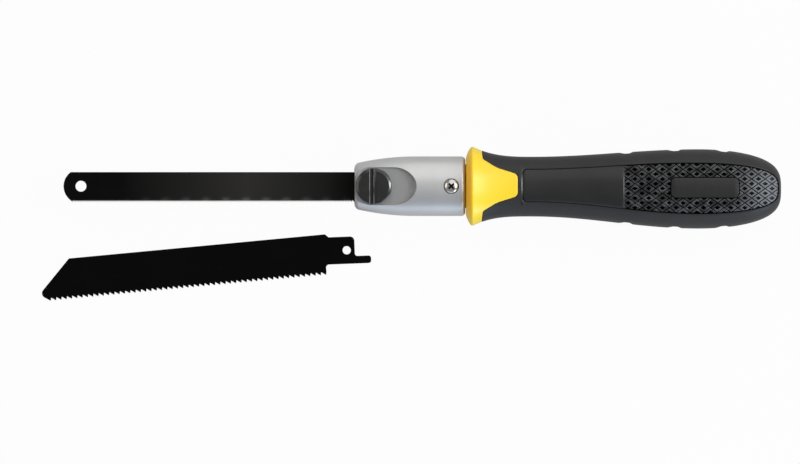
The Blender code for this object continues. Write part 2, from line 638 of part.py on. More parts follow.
def make_body_screw(parent):
    """The pan-head screw through the sleeve into the spigot, with a cross recess."""
    head = SCREW_HEAD_DIAMETER / 2
    shank = SCREW_SHANK_DIAMETER / 2
    crown = []
    for turn in (75, 50, 25, 0):
        angle = math.radians(turn)
        rise = mix(SCREW_RIM_HEIGHT, SCREW_HEAD_HEIGHT, math.sin(angle))
        crown.append((head * math.cos(angle), SCREW_SEAT + rise))
    profile = [
        (0, SCREW_SEAT + SCREW_HEAD_HEIGHT),
        *crown,
        (head, SCREW_SEAT),
        (shank, SCREW_SEAT),
        (shank, SCREW_SEAT - SCREW_SHANK_LENGTH + shank),
        (0, SCREW_SEAT - SCREW_SHANK_LENGTH),
    ]
    screw = turned("body_screw", (BODY_SCREW_BACK, 0), profile, SMALL_ROUND_SIDES)
    top = SCREW_SEAT + SCREW_HEAD_HEIGHT
    for span, wing in ((RECESS_SPAN, RECESS_WING), (RECESS_WING, RECESS_SPAN)):
        outline = box_outline(BODY_SCREW_BACK - span / 2, BODY_SCREW_BACK + span / 2, wing / 2, 0)
        cut(screw, prism("cross", outline, top - RECESS_DEPTH, top + RECESS_DEPTH))
    finish(screw, parent, BRIGHT_NICKEL)


def toothed_plate(name, outline, feet, gullets, tips, thickness, bend):
    """A flat blade with teeth on its lower edge.

    The outline runs from behind the last tooth round to ahead of the first. Below its foot each tooth is
    its own small face, so that bend(tooth) can push its tip sideways without warping the blade.
    """
    bm = bmesh.new()
    sides = []
    for over in (thickness / 2, -thickness / 2):
        flat = [bm.verts.new((x, y, over)) for x, y in outline]
        roots = [bm.verts.new((x, y, over)) for x, y in feet]
        valleys = [bm.verts.new((x, y, over)) for x, y in gullets]
        points = [bm.verts.new((x, y, over + bend(k))) for k, (x, y) in enumerate(tips)]
        bm.faces.new(flat + roots)
        for k, point in enumerate(points):
            bm.faces.new((roots[k], valleys[k], point))
            bm.faces.new((roots[k], point, roots[k + 1]))
            bm.faces.new((point, valleys[k + 1], roots[k + 1]))
        edge = [valleys[0]]
        for point, valley in zip(points, valleys[1:]):
            edge += [point, valley]
        sides.append(flat + [roots[0]] + edge + [roots[-1]])
    upper, lower = sides
    for k, vertex in enumerate(upper):
        after = (k + 1) % len(upper)
        bm.faces.new((vertex, upper[after], lower[after], lower[k]))
    return new_object(name, bm)


def tooth_row(first, last, pitch, gullet_line, tip_line):
    """Gullets and tips of a row of saw teeth; each tip stands just ahead of the next gullet."""
    count = round((last - first) / pitch)
    step = (last - first) / count
    lean = step / 8
    gullets = [(first + k * step, gullet_line) for k in range(count + 1)]
    tips = [(first + (k + 1) * step - lean, tip_line) for k in range(count)]
    return gullets, tips


def drill(blade, centre, diameter, thickness):
    """A hole through a blade that lies about Z = 0 in its own frame."""
    reach = 2 * thickness
    hole = disc("hole", centre, diameter, -AXIS_HEIGHT - reach, -AXIS_HEIGHT + reach)
    return cut(blade, hole)


def make_hacksaw_blade(parent):
    """The clamped blade, drawn about its inner hole, which lies under the clamp screw."""
    span = HACK_REACH + KNOB_BACK_OF_NOSE - HACK_END_RADIUS
    gullet_line = -HACK_TOOTH_HALF + HACK_TOOTH_DEPTH
    set_line = -HACK_TOOTH_HALF + HACK_SET_BAND
    back_angle = math.asin(HACK_BACK_HALF / HACK_END_RADIUS)
    set_angle = math.asin(set_line / HACK_END_RADIUS)
    inner = arc((0, 0), HACK_END_RADIUS, set_angle, back_angle)
    outer = arc((-span, 0), HACK_END_RADIUS, math.pi - back_angle, math.pi - set_angle)
    end = math.sqrt(HACK_END_RADIUS**2 - gullet_line**2)  # the teeth run from one round end to the other
    gullets, tips = tooth_row(-span - end, end, HACK_PITCH, gullet_line, -HACK_TOOTH_HALF)
    feet = [outer[-1]] + [(x, set_line) for x, _ in gullets[1:-1]] + [inner[0]]

    def wave(tooth):
        return HACK_SET * math.cos(2 * math.pi * (tips[tooth][0] / HACK_WAVE + HACK_WAVE_SHARE))

    outline = inner[1:] + outer[:-1]
    blade = toothed_plate("hacksaw_blade", outline, feet, gullets, tips, HACK_THICKNESS, wave)
    for along in (0, -span):
        drill(blade, (along, 0), HACK_HOLE, HACK_THICKNESS)
    finish(blade, parent, BLACK_OXIDE)
    blade.location = (KNOB_BACK, 0, AXIS_HEIGHT + BLADE_FLOOR + HACK_THICKNESS / 2)


def make_spare_blade(parent):
    """The loose blade: slanted tip, raked teeth with alternate set, stepped shank and tang."""
    gullet_line = -SPARE_WIDTH + SPARE_TOOTH_DEPTH
    set_line = -SPARE_WIDTH + SPARE_SET_BAND

    shank_end = SPARE_HEEL + SHANK_LENGTH
    shank_low = SHANK_STEP + SHANK_WIDTH

    def canted(along, across):
        behind, over = along - SPARE_HEEL, shank_low - across
        return (
            SPARE_HEEL + behind * math.cos(SHANK_CANT) + over * math.sin(SHANK_CANT),
            -shank_low - behind * math.sin(SHANK_CANT) + over * math.cos(SHANK_CANT),
        )

    outline = rounded(
        [
            (SPARE_HEEL, set_line, 0),
            (SPARE_HEEL, -shank_low, SHANK_ROUND),
            (*canted(SPARE_LENGTH, shank_low), TANG_ROUND),
            (*canted(SPARE_LENGTH, shank_low - TANG_WIDTH), TANG_ROUND),
            (*canted(shank_end, shank_low - TANG_WIDTH), TANG_ROUND),
            (*canted(shank_end, SHANK_STEP), SHANK_CORNER),
            (*canted(SPARE_HEEL + SHANK_FOOT, SHANK_STEP), 0),
            (SPARE_HEEL + SPARE_STEP_BACK, 0, 0),
            (SPARE_SLANT_BACK, 0, 0),
            (-SPARE_NOSE_AHEAD, SPARE_NOSE_RISE - SPARE_WIDTH, SPARE_NOSE_ROUND),
            (SPARE_TOOTH_FRONT, gullet_line, 0),
        ]
    )
    while outline[-1][1] < set_line:
        nose_foot = outline.pop()
    gullets, tips = tooth_row(SPARE_TOOTH_FRONT, SPARE_HEEL, SPARE_PITCH, gullet_line, -SPARE_WIDTH)
    feet = [nose_foot] + [(x, set_line) for x, _ in gullets[1:-1]] + [outline[0]]

    def alternate(tooth):
        return SPARE_SET if tooth % 2 else -SPARE_SET

    blade = toothed_plate(
        "spare_blade", outline[1:], feet, gullets, tips, SPARE_THICKNESS, alternate
    )
    hole = canted(SPARE_HEEL + SPARE_HOLE_BEHIND_HEEL, SHANK_STEP + SHANK_WIDTH / 2)
    drill(blade, hole, SPARE_HOLE, SPARE_THICKNESS)
    finish(blade, parent, BLACK_OXIDE)
    blade.location = (SPARE_TIP_BACK, -SPARE_TIP_DROP, SPARE_THICKNESS / 2 + SPARE_SET)
    blade.rotation_euler = (0, 0, SPARE_ANGLE)


def main():
    for thing in list(bpy.data.objects):
        bpy.data.objects.remove(thing)
    saw = bpy.data.objects.new("saw", None)
    saw.location = (-PLAQUE_BACK, PLAQUE_DROP, 0)
    bpy.context.scene.collection.objects.link(saw)
    make_clamp_body(saw)
    make_thread_bush(saw)
    make_clamp_screw(saw)
    make_retaining_clip(saw)
    make_pressure_plate(saw)
    make_body_screw(saw)
    make_core(saw)
    make_grip(saw)
    make_inlay("inlay_upper", saw, 1)
    make_inlay("inlay_lower", saw, -1)
    make_hacksaw_blade(saw)
    make_spare_blade(saw)


main()
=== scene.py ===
import json
import math

import bpy
import numpy as np
from mathutils import Matrix, Vector


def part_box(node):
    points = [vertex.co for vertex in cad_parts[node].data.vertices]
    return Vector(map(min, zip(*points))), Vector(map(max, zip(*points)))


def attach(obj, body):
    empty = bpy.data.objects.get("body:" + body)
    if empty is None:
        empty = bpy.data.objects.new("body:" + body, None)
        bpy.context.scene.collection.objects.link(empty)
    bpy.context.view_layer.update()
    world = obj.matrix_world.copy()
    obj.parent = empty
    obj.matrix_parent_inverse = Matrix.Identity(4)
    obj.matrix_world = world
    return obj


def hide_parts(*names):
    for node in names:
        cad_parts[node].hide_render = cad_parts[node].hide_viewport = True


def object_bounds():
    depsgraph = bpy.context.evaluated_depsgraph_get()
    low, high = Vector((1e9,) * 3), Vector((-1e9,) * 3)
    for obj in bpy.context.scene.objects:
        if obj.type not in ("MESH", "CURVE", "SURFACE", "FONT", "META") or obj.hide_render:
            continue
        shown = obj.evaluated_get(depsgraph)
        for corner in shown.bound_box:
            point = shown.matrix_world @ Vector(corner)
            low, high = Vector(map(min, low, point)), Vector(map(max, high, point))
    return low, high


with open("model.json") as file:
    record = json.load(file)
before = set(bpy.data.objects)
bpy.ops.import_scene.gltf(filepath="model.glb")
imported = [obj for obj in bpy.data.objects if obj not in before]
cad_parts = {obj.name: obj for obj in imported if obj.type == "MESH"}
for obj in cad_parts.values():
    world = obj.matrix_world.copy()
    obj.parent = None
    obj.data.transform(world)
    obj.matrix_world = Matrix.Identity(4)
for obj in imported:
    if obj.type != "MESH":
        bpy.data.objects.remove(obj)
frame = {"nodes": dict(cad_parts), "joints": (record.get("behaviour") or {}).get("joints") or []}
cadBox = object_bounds()
print("frame loaded:", ", ".join(sorted(frame["nodes"])))

mm = 0.001


def metres(**sizes):
    return {name: size * mm for name, size in sizes.items()}


# The handle's own shape: places along it are counted back from the shoulder, where it meets the clamp body
handle = metres(
    length=144.9, crest=3.1,
    shoulderHeight=26.8, shoulderThickness=21.8, guardHeight=36.4, guardThickness=32.0,
    waistBack=30.0, waistHeight=27.5, waistThickness=24.4, waistDrop=0.2,
    bellyBack=107.0, bellyHeight=36.5, bellyThickness=31.4, bellyDrop=1.25, levelFront=92.0, levelRear=126.0,
)
handleCurve = {"squareness": 2.5, "flare": 3, "butt": 3.3}
seatGap = 0.3 * mm

# Where the saw lies, from the frame: the clamp screw's axis, the butt and the nose
screwJoint = next(joint for joint in frame["joints"] if joint["name"] == "screw_turn")
knobX, axisY, axisZ = screwJoint["pos_m"]
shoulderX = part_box("grip_sleeve")[1].x - handle["length"]
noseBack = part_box("clamp_body")[0].x - shoulderX
knobBack = knobX - shoulderX
sawPlace = Matrix.Translation((shoulderX, axisY, axisZ))


def mix(a, b, share):
    return a + (b - a) * share


def ease(share):
    return (1 - np.cos(math.pi * np.clip(share, 0, 1))) / 2


# Small helpers for working on one piece at a time
def focus(piece):
    if bpy.context.mode != "OBJECT":
        bpy.ops.object.mode_set(mode="OBJECT")
    bpy.ops.object.select_all(action="DESELECT")
    if piece:
        piece.select_set(True)
        bpy.context.view_layer.objects.active = piece


def openEdit(piece):
    focus(piece)
    bpy.ops.object.mode_set(mode="EDIT")
    bpy.ops.mesh.select_all(action="SELECT")


def closeEdit():
    bpy.ops.object.mode_set(mode="OBJECT")


def faceOutwards():
    # turns the open piece's faces outwards and closes it
    bpy.ops.mesh.select_all(action="SELECT")
    bpy.ops.mesh.normals_make_consistent(inside=False)
    closeEdit()


def selectFaces(piece, wanted):
    # opens a piece with only the wanted faces selected
    openEdit(piece)
    bpy.ops.mesh.select_mode(type="FACE")
    bpy.ops.mesh.select_all(action="DESELECT")
    closeEdit()
    for face in piece.data.polygons:
        face.select = wanted(face)
    bpy.ops.object.mode_set(mode="EDIT")


def pointsOf(piece):
    points = np.empty(len(piece.data.vertices) * 3)
    piece.data.vertices.foreach_get("co", points)
    return points.reshape(-1, 3)


def movePoints(piece, points):
    piece.data.vertices.foreach_set("co", np.ascontiguousarray(points).ravel())
    piece.data.update()


def volumeOf(piece):
    # comes out below zero where a skin is inside out
    piece.data.calc_loop_triangles()
    corners = pointsOf(piece)[np.array([triangle.vertices for triangle in piece.data.loop_triangles])]
    return np.sum(corners[:, 0] * np.cross(corners[:, 1], corners[:, 2])) / 6


def closeUp(piece):
    # joins the seam, closes the ends and turns the faces outwards
    openEdit(piece)
    bpy.ops.mesh.remove_doubles(threshold=0.001 * mm)
    bpy.ops.mesh.select_all(action="SELECT")
    bpy.ops.mesh.fill_holes(sides=0)
    faceOutwards()
    if volumeOf(piece) < 0:
        piece.data.flip_normals()
    return piece


def carve(piece, tool, operation="DIFFERENCE"):
    # cuts the tool out of a piece, joins it on or keeps what they share; both are first made triangles,
    # which are always flat
    for part in (tool, piece):
        openEdit(part)
        bpy.ops.mesh.quads_convert_to_tris()
        closeEdit()
    focus(piece)
    step = piece.modifiers.new("carve", "BOOLEAN")
    step.operation = operation
    step.solver = "MANIFOLD"
    step.object = tool
    bpy.ops.object.modifier_apply(modifier=step.name)
    bpy.data.objects.remove(tool)
    return piece


def newMesh(name, points, edges, faces):
    mesh = bpy.data.meshes.new(name)
    mesh.from_pydata(points, edges, faces)
    piece = bpy.data.objects.new(name, mesh)
    bpy.context.scene.collection.objects.link(piece)
    return piece


def block(name, outline, low, high):
    # an outline drawn flat and pulled up into a block
    piece = newMesh(name, [(x, y, low) for x, y in outline], [], [range(len(outline))])
    openEdit(piece)
    bpy.ops.mesh.extrude_region_move(TRANSFORM_OT_translate={"value": (0, 0, high - low)})
    faceOutwards()
    return piece


def circle(centre, radius, count=64):
    turns = [2 * math.pi * k / count for k in range(count)]
    return [(centre[0] + radius * math.cos(a), centre[1] + radius * math.sin(a)) for a in turns]


def rounded(corners, step=math.radians(6)):
    # corners (x, y, radius) with each corner turned into an arc
    outline = []
    for k, (x, y, radius) in enumerate(corners):
        here = Vector((x, y))
        before = (Vector(corners[k - 1][:2]) - here).normalized()
        after = (Vector(corners[(k + 1) % len(corners)][:2]) - here).normalized()
        if not radius:
            outline.append((x, y))
            continue
        half = before.angle(after) / 2
        centre = here + (before + after).normalized() * (radius / math.sin(half))
        first = here + before * (radius / math.tan(half)) - centre
        last = here + after * (radius / math.tan(half)) - centre
        turn = math.atan2(first.x * last.y - first.y * last.x, first.dot(last))
        count = max(1, math.ceil(abs(turn) / step))
        start = math.atan2(first.y, first.x)
        for angle in (start + turn * j / count for j in range(count + 1)):
            outline.append((centre.x + radius * math.cos(angle), centre.y + radius * math.sin(angle)))
    return outline


def outlineDistance(x, y, outline):
    # how far each point is from an outline, on either side of it
    nearest = np.full(np.shape(x), np.inf)
    for (ax, ay), (bx, by) in zip(outline, outline[1:] + outline[:1]):
        dx, dy = bx - ax, by - ay
        share = np.clip(((x - ax) * dx + (y - ay) * dy) / (dx * dx + dy * dy), 0, 1)
        nearest = np.minimum(nearest, np.hypot(x - ax - share * dx, y - ay - share * dy))
    return nearest


def spun(name, profile, steps):
    # a profile (radius, height) turned about the upright axis of its own frame
    points = [(radius, 0, height) for radius, height in profile]
    piece = newMesh(name, points, [(k, k + 1) for k in range(len(points) - 1)], [])
    openEdit(piece)
    bpy.ops.mesh.spin(steps=steps, angle=2 * math.pi, center=(0, 0, 0), axis=(0, 0, 1))
    closeEdit()
    return closeUp(piece)


def cutThread(piece, low, high, radius, depth, pitch):
    # presses a helical groove into the plain stretch of a turned shank
    points = pointsOf(piece)
    reach = np.hypot(points[:, 0], points[:, 1])
    turn = np.arctan2(points[:, 1], points[:, 0]) / (2 * math.pi)
    onShank = (np.abs(reach - radius) < 0.01 * mm) & (points[:, 2] > low) & (points[:, 2] < high)
    flank = np.abs(2 * np.mod(points[:, 2] / pitch - turn, 1) - 1)
    fade = np.clip(np.minimum(points[:, 2] - low, high - points[:, 2]) / pitch, 0, 1)
    factor = np.where(onShank, (radius - depth * flank * fade) / np.maximum(reach, mm / 1000), 1)
    points[:, :2] *= factor[:, None]
    movePoints(piece, points)


def settle(piece, name, look, body, node, place=sawPlace, smooth=35):
    # puts a finished piece in its place, with its finish, on the body that it moves with
    piece.data.transform(place)
    piece.name = piece.data.name = name
    piece.data.materials.clear()
    piece.data.materials.append(look)
    focus(piece)
    bpy.ops.object.shade_smooth_by_angle(angle=math.radians(smooth))
    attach(piece, body)
    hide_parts(node)
    triangles = sum(len(face.vertices) - 2 for face in piece.data.polygons)
    print(f"{name}: {triangles} triangles")
    return piece


# Shader maths
class Wire:
    # one socket, so that shader maths reads as sums
    def __init__(self, look, socket):
        self.look = look
        self.socket = socket

    def sum(self, operation, first, second):
        return self.look.node("ShaderNodeMath", {"operation": operation}, {0: first, 1: second})

    def __add__(self, other):
        return self.sum("ADD", self, other)

    def __radd__(self, other):
        return self.sum("ADD", other, self)

    def __sub__(self, other):
        return self.sum("SUBTRACT", self, other)

    def __rsub__(self, other):
        return self.sum("SUBTRACT", other, self)

    def __mul__(self, other):
        return self.sum("MULTIPLY", self, other)

    def __rmul__(self, other):
        return self.sum("MULTIPLY", other, self)

    def __abs__(self):
        return self.sum("ABSOLUTE", self, 0.0)

    def atLeast(self, other):
        return self.sum("MAXIMUM", self, other)

    def atMost(self, other):
        return self.sum("MINIMUM", self, other)


class Look:
    # one material: the nodes that feed its shader
    def __init__(self, name, **constants):
        self.material = bpy.data.materials.new(name)
        self.material.use_nodes = True
        self.tree = self.material.node_tree
        self.shader = self.tree.nodes["Principled BSDF"]
        self.place = self.node("ShaderNodeTexCoord", output="Object")
        for socket, value in constants.items():
            self.feed(socket.replace("_", " "), value)

    def node(self, kind, settings=None, sockets=None, output=0):
        made = self.tree.nodes.new(kind)
        for setting, value in (settings or {}).items():
            setattr(made, setting, value)
        for socket, value in (sockets or {}).items():
            self.join(made.inputs[socket], value)
        return Wire(self, made.outputs[output])

    def join(self, socket, value):
        if isinstance(value, Wire):
            self.tree.links.new(value.socket, socket)
        else:
            socket.default_value = value

    def feed(self, socket, value):
        self.join(self.shader.inputs[socket], value)

    def axis(self, name):
        return self.node("ShaderNodeSeparateXYZ", None, {0: self.place}, output=name)

    def noise(self, scale, detail=3.0, roughness=0.5, place=None):
        sockets = {"Vector": place or self.place, "Scale": scale, "Detail": detail, "Roughness": roughness}
        return self.node("ShaderNodeTexNoise", None, sockets)

    def stretched(self, scale, centre=(0, 0, 0)):
        shift = [-a * b for a, b in zip(centre, scale)]
        return self.node("ShaderNodeMapping", None, {"Vector": self.place, "Location": shift, "Scale": scale})

    def between(self, value, low, high):
        # 0 at low, 1 at high, and held there outside; low may be the larger
        sockets = {"Value": value, "From Min": low, "From Max": high}
        return self.node("ShaderNodeMapRange", {"clamp": True}, sockets)

    def root(self, value):
        return self.node("ShaderNodeMath", {"operation": "SQRT"}, {0: value})

    def tint(self, share, first, second):
        sockets = {0: share, 6: first, 7: second}
        return self.node("ShaderNodeMix", {"data_type": "RGBA"}, sockets, output=2)

    def bump(self, height, strength, distance):
        sockets = {"Strength": strength, "Distance": distance, "Height": height}
        self.feed("Normal", self.node("ShaderNodeBump", None, sockets))


def grey(value, warm=0.0):
    return (value * (1 + warm), value, value * (1 - warm), 1)


def satinAlloy():
    # die cast, blasted to a fine even grain
    look = Look("satinAlloy", Metallic=0.9)
    cloud = look.noise(60)
    grain = look.noise(2600, detail=2)
    blasted = look.tint(look.between(cloud, 0.35, 0.65), grey(0.56), grey(0.60))

    # painted shade: the flat under the knob, down in its recess, is painted darker
    floorZ, flatHalf = axisZ + clamp["flatFloor"], clamp["flatWidth"] / 2
    flatEnd = shoulderX + noseBack + clamp["flatLength"]
    paintedFloorShade = 1 - look.between(abs(look.axis("Z") - floorZ), 0.05 * mm, 0.3 * mm)
    paintedFloorShade = paintedFloorShade * look.between(look.axis("X"), flatEnd + mm, flatEnd)
    paintedFloorShade = paintedFloorShade * look.between(abs(look.axis("Y") - axisY), flatHalf + 0.2 * mm, flatHalf)
    look.feed("Base Color", look.tint(paintedFloorShade, blasted, grey(0.39)))
    look.feed("Roughness", 0.38 + 0.10 * grain)
    look.bump(grain, 0.35, 0.03 * mm)
    return look.material


def yellowPlastic():
    look = Look("yellowPlastic")
    cloud = look.noise(45)
    grain = look.noise(1800, detail=2)
    moulded = look.tint(look.between(cloud, 0.3, 0.7), (0.86, 0.61, 0.018, 1), (0.89, 0.65, 0.028, 1))

    # painted shade: the guard's front, which faces away from the lamps, is tinted a deeper orange towards the
    # clamp
    crest, height = handle["crest"], handle["guardHeight"]
    front = look.between(look.axis("X") - shoulderX, crest * 1.3, crest * 0.5)
    front = front * look.between(abs(look.axis("Y") - axisY), height / 2, height / 5)
    look.feed("Base Color", look.tint(front, moulded, (0.98, 0.50, 0.001, 1)))
    look.feed("Roughness", 0.33 + 0.08 * grain)
    look.bump(grain, 0.2, 0.02 * mm)
    return look.material


def darkRubber():
    # moulded elastomer with a matt grain and a little bloom
    look = Look("darkRubber", Specular_IOR_Level=0.4)
    cloud = look.noise(70, detail=4)
    grain = look.noise(3200, detail=3)
    shade = look.between(cloud, 0.3, 0.75)
    look.feed("Base Color", look.tint(shade, grey(0.013), grey(0.018)))

    # polished by the hand on the lip in front of the panel
    toLip = abs(look.axis("X") - (shoulderX + panel["front"] - panel["lip"] / 2))
    polished = look.between(toLip, panel["lip"], panel["lip"] / 2)
    polished = polished * look.between(abs(look.axis("Y") - axisY), panel["polishEnd"], panel["polished"])
    look.feed("Roughness", 0.48 + 0.12 * grain - 0.28 * polished)
    look.bump(grain, 0.45, 0.05 * mm)
    return look.material


def darkPlastic():
    # hard plastic, dead matt in the diamonds' grooves and pits, which are painted near black as painted
    # shade; the diamonds' bevels carry painted highlights, and the field a painted sheen towards the butt
    look = Look("darkPlastic", Specular_IOR_Level=0.48)
    cloud = look.noise(90)
    grain = look.noise(2400, detail=2)
    d, q = diamond, plaque
    x, y = look.axis("X") - shoulderX, look.axis("Y") - axisY

    # how far in from its diamond's nearest side a point lies, as a share of the diamond's width
    along, across = (x - d["back"]) * (1 / d["long"]), (y - d["up"]) * (1 / d["wide"])
    inward = 0.5
    for line in (along + across, along - across):
        cell = look.node("ShaderNodeMath", {"operation": "FRACT"}, {0: line})
        inward = (0.5 - abs(cell - 0.5)).atMost(inward)
    width = d["long"] * d["wide"] / math.hypot(d["long"], d["wide"])
    groove, wall = d["groove"] / 2 / width, (d["groove"] / 2 + d["wall"]) / width
    bevel = d["bevel"] / width
    pit = wall + 2 * bevel + d["rim"] / width
    # painted shade: the grooves between the diamonds and the pits in them are painted near black and made
    # metallic, so that they reflect almost nothing
    paintedShadeAndTone = look.between(inward, wall, groove) + look.between(inward, pit, pit + 0.05)
    # painted highlights: lighter patches along the diamonds' bevels, where these catch the lamps
    paintedHighlight = 0.0
    for edge in (wall + bevel / 2, pit - bevel / 2):
        paintedHighlight = look.between(abs(inward - edge), 1.2 * bevel, 0.4 * bevel) + paintedHighlight
    paintedHighlight = paintedHighlight * look.between(look.noise(330), 0.46, 0.6)

    # how far outside the plaque's rounded outline
    aside = abs(x - q["back"]) - (q["length"] / 2 - q["corner"])
    below = abs(y + q["drop"]) - (q["width"] / 2 - q["corner"])
    aside, below = aside.atLeast(0.0), below.atLeast(0.0)
    outside = look.root(aside * aside + below * below) - q["corner"]

    behindPlate = look.between(x, plate["end"] + 0.1 * mm, plate["end"] + 0.3 * mm)
    inField = look.between(outside, 0.0, 0.1 * mm) * behindPlate
    moat = 1 - look.between(outside, q["moat"], q["moat"] + 0.1 * mm)
    # painted shade in the moat round the plaque as well, all kept to the field behind the plate
    paintedShadeAndTone = paintedShadeAndTone.atLeast(moat) * inField
    # painted sheen: the field is paler towards the butt, where its surface turns towards the lamps
    paintedButtSheen = look.between(x, handle["levelRear"] - d["bloomAhead"], handle["length"])  # paler at the butt
    face = look.tint(look.between(cloud, 0.3, 0.7), grey(0.006), grey(0.010))
    face = look.tint(inField * paintedButtSheen, face, grey(0.21, -0.05))
    face = look.tint(inField * paintedHighlight * 0.5, face, grey(0.27, -0.05))
    # the whole field also takes a quarter of the near black, as a darker tone under the painted shade
    paintedShadeAndTone = paintedShadeAndTone.atLeast(0.25 * inField)
    look.feed("Base Color", look.tint(paintedShadeAndTone * (1 - 0.3 * paintedButtSheen), face, grey(0.002)))
    look.feed("Metallic", paintedShadeAndTone * (1 - 0.6 * paintedButtSheen))
    look.feed("Roughness", 0.34 + 0.10 * grain + 0.4 * paintedShadeAndTone)
    look.bump(grain, 0.25, 0.03 * mm)
    return look.material


def darkKnobSteel():
    # turned on a lathe, so its marks run round the screw's axis
    look = Look("darkKnobSteel", Metallic=0.3, Specular_IOR_Level=1.0)
    rings = look.node(
        "ShaderNodeTexWave",
        {"wave_type": "RINGS", "rings_direction": "Z"},
        {"Vector": look.stretched((1, 1, 1), (knobX, axisY, 0)), "Scale": 700.0, "Distortion": 0.4},
    )
    cloud = look.noise(300)
    face = look.tint(look.between(cloud, 0.3, 0.7), grey(0.008, 0.05), grey(0.013, 0.05))

    # painted shade down in the coin slot, where it is also rougher, and painted highlights along the slot's
    # edges
    k = knob
    z, top = look.axis("Z"), axisZ + k["floor"] + k["height"]
    recessShade = look.between(z, top - k["stepDepth"] * 1.4, top - k["stepDepth"] * 2)
    recessShade = recessShade * look.between(z, top - k["height"], top - k["height"] / 2)
    aside = abs(look.axis("X") - (knobX + k["slotMiddle"]))
    inSlot = look.between(aside, k["slotWidth"], k["slotWidth"] - 0.1 * mm)
    paintedHighlight = look.between(abs(aside - k["slotWidth"] / 2 - k["slotEdge"] / 2), 0.22 * mm, 0.1 * mm)
    paintedHighlight = paintedHighlight * look.between(z, top - k["stepDepth"] * 1.7, top - k["stepDepth"] * 1.5)
    face = look.tint(paintedHighlight * look.between(cloud, 0.2, 0.6), face, grey(0.4))
    look.feed("Base Color", look.tint(recessShade * inSlot, face, grey(0.004)))
    look.feed("Roughness", 0.15 + 0.10 * cloud + 0.5 * recessShade * inSlot)
    look.bump(rings, 0.25, 0.02 * mm)
    return look.material


def brightNickel():
    # bright plating, with painted shade and a rougher finish down in the cross recess
    look = Look("brightNickel", Metallic=1.0)
    cloud = look.noise(500)
    plated = look.tint(cloud, grey(0.50, 0.05), grey(0.62, 0.05))
    b = bodyScrew
    aside = look.axis("X") - (shoulderX - pilot["ahead"])
    across = look.axis("Y") - axisY
    share = (aside * aside + across * across) * (4 / b["head"] ** 2)
    crown = (1 - share) * (b["height"] - b["rim"]) + (axisZ + b["seat"] + b["rim"])
    recessShade = look.between(crown - look.axis("Z"), 0.1 * mm, 0.45 * mm)
    look.feed("Base Color", look.tint(recessShade, plated, grey(0.02)))
    look.feed("Roughness", 0.12 + 0.14 * cloud + 0.3 * recessShade)
    return look.material


def zincSteel():
    look = Look("zincSteel", Metallic=1.0)
    cloud = look.noise(250, detail=5)
    look.feed("Base Color", look.tint(cloud, grey(0.42), grey(0.54)))
    look.feed("Roughness", 0.28 + 0.16 * cloud)
    look.bump(cloud, 0.15, 0.02 * mm)
    return look.material


def blackBlade(name, base, sheen, specular, paintedSheen=None):
    # blackened strip steel: a thin coat over the rolling lines along the blade, and, when given, a painted
    # sheen along the blade's middle with painted highlights on the crests of the set teeth
    look = Look(name, Specular_IOR_Level=specular)
    rolled = look.noise(1.0, detail=4, place=look.stretched((60, 1400, 1400)))
    cloud = look.noise(35, detail=4)
    shade = look.between(cloud, 0.35, 0.7)
    coat = look.tint(shade, grey(base, 0.06), grey(base * sheen, 0.04))
    if paintedSheen:
        x, y = look.axis("X"), look.axis("Y")
        middle = 1 - look.between(abs(x - paintedSheen["middle"]), 0.0, paintedSheen["reach"])
        band = look.between(y, axisY - paintedSheen["start"], axisY - paintedSheen["full"])
        turn = ((x - knobX) * (1 / paintedSheen["wave"]) + paintedSheen["share"]) * (2 * math.pi)
        crests = look.node("ShaderNodeMath", {"operation": "COSINE"}, {0: turn})
        paintedHighlight = look.between(crests + 0.8 * look.noise(900), 0.3, 1.5)
        # painted sheen along the blade's middle, and painted highlights on the crests of the set, where they
        # face the lamps
        coat = look.tint(0.45 * middle, coat, grey(paintedSheen["bare"], 0.05))
        coat = look.tint(0.8 * middle * band * paintedHighlight, coat, grey(2 * paintedSheen["bare"], 0.03))
    look.feed("Base Color", coat)
    look.feed("Roughness", 0.34 + 0.16 * rolled)
    look.bump(rolled, 0.3, 0.02 * mm)
    return look.material


# Handle skin
def oval(angle, up, down, thick, squareness, middle=0.0):
    across, over = np.cos(angle).round(9), np.sin(angle).round(9)
    across = np.sign(across) * np.abs(across) ** (2 / squareness)
    over = np.sign(over) * np.abs(over) ** (2 / squareness)
    return middle + across * np.where(across > 0, up, down), over * thick


def evenAngles(count, squareness):
    # angles that space the points of an oval section evenly round its outline
    fine = np.linspace(0, 2 * math.pi, 64 * count + 1)
    y, z = oval(fine, 1, 1, 1, squareness)
    run = np.concatenate(([0], np.cumsum(np.hypot(np.diff(y), np.diff(z)))))
    return np.interp(np.linspace(0, run[-1], count + 1), run, fine)


def handleSize(back, inset=0.0):
    # half-height above and below the section's middle, half-thickness, and where the middle lies;
    # inset gives a skin inside the outer one
    h = handle
    butt = h["length"] - inset
    toWaist = np.clip((back - h["crest"]) / (h["waistBack"] - h["crest"]), 0, 1)
    flare = (1 - toWaist) ** handleCurve["flare"]
    rise = 1 - np.clip(1 - back / h["crest"], 0, 1) ** 2
    swell = ease((back - h["waistBack"]) / (h["bellyBack"] - h["waistBack"]))
    fill = ease((back - h["waistBack"]) / (h["levelFront"] - h["waistBack"]))
    halves = []
    for size, grow, lastFull in (("Height", swell, "bellyBack"), ("Thickness", fill, "levelRear")):
        body = mix(mix(h["waist" + size], h["guard" + size], flare), h["belly" + size], grow)
        half = mix(h["shoulder" + size], body, rise) / 2 - inset
        closing = np.clip((back - h[lastFull]) / (butt - h[lastFull]), 0, 1)
        halves.append(half * (1 - closing**2) ** (1 / handleCurve["butt"]))
    drop = h["waistDrop"] * ease(toWaist) + (h["bellyDrop"] - h["waistDrop"]) * swell
    settled = np.clip((back - h["bellyBack"]) / (butt - h["bellyBack"]), 0, 1) ** 4
    lean = drop * (1 - settled)
    return halves[0] - lean, halves[0] + lean, halves[1], -drop * settled


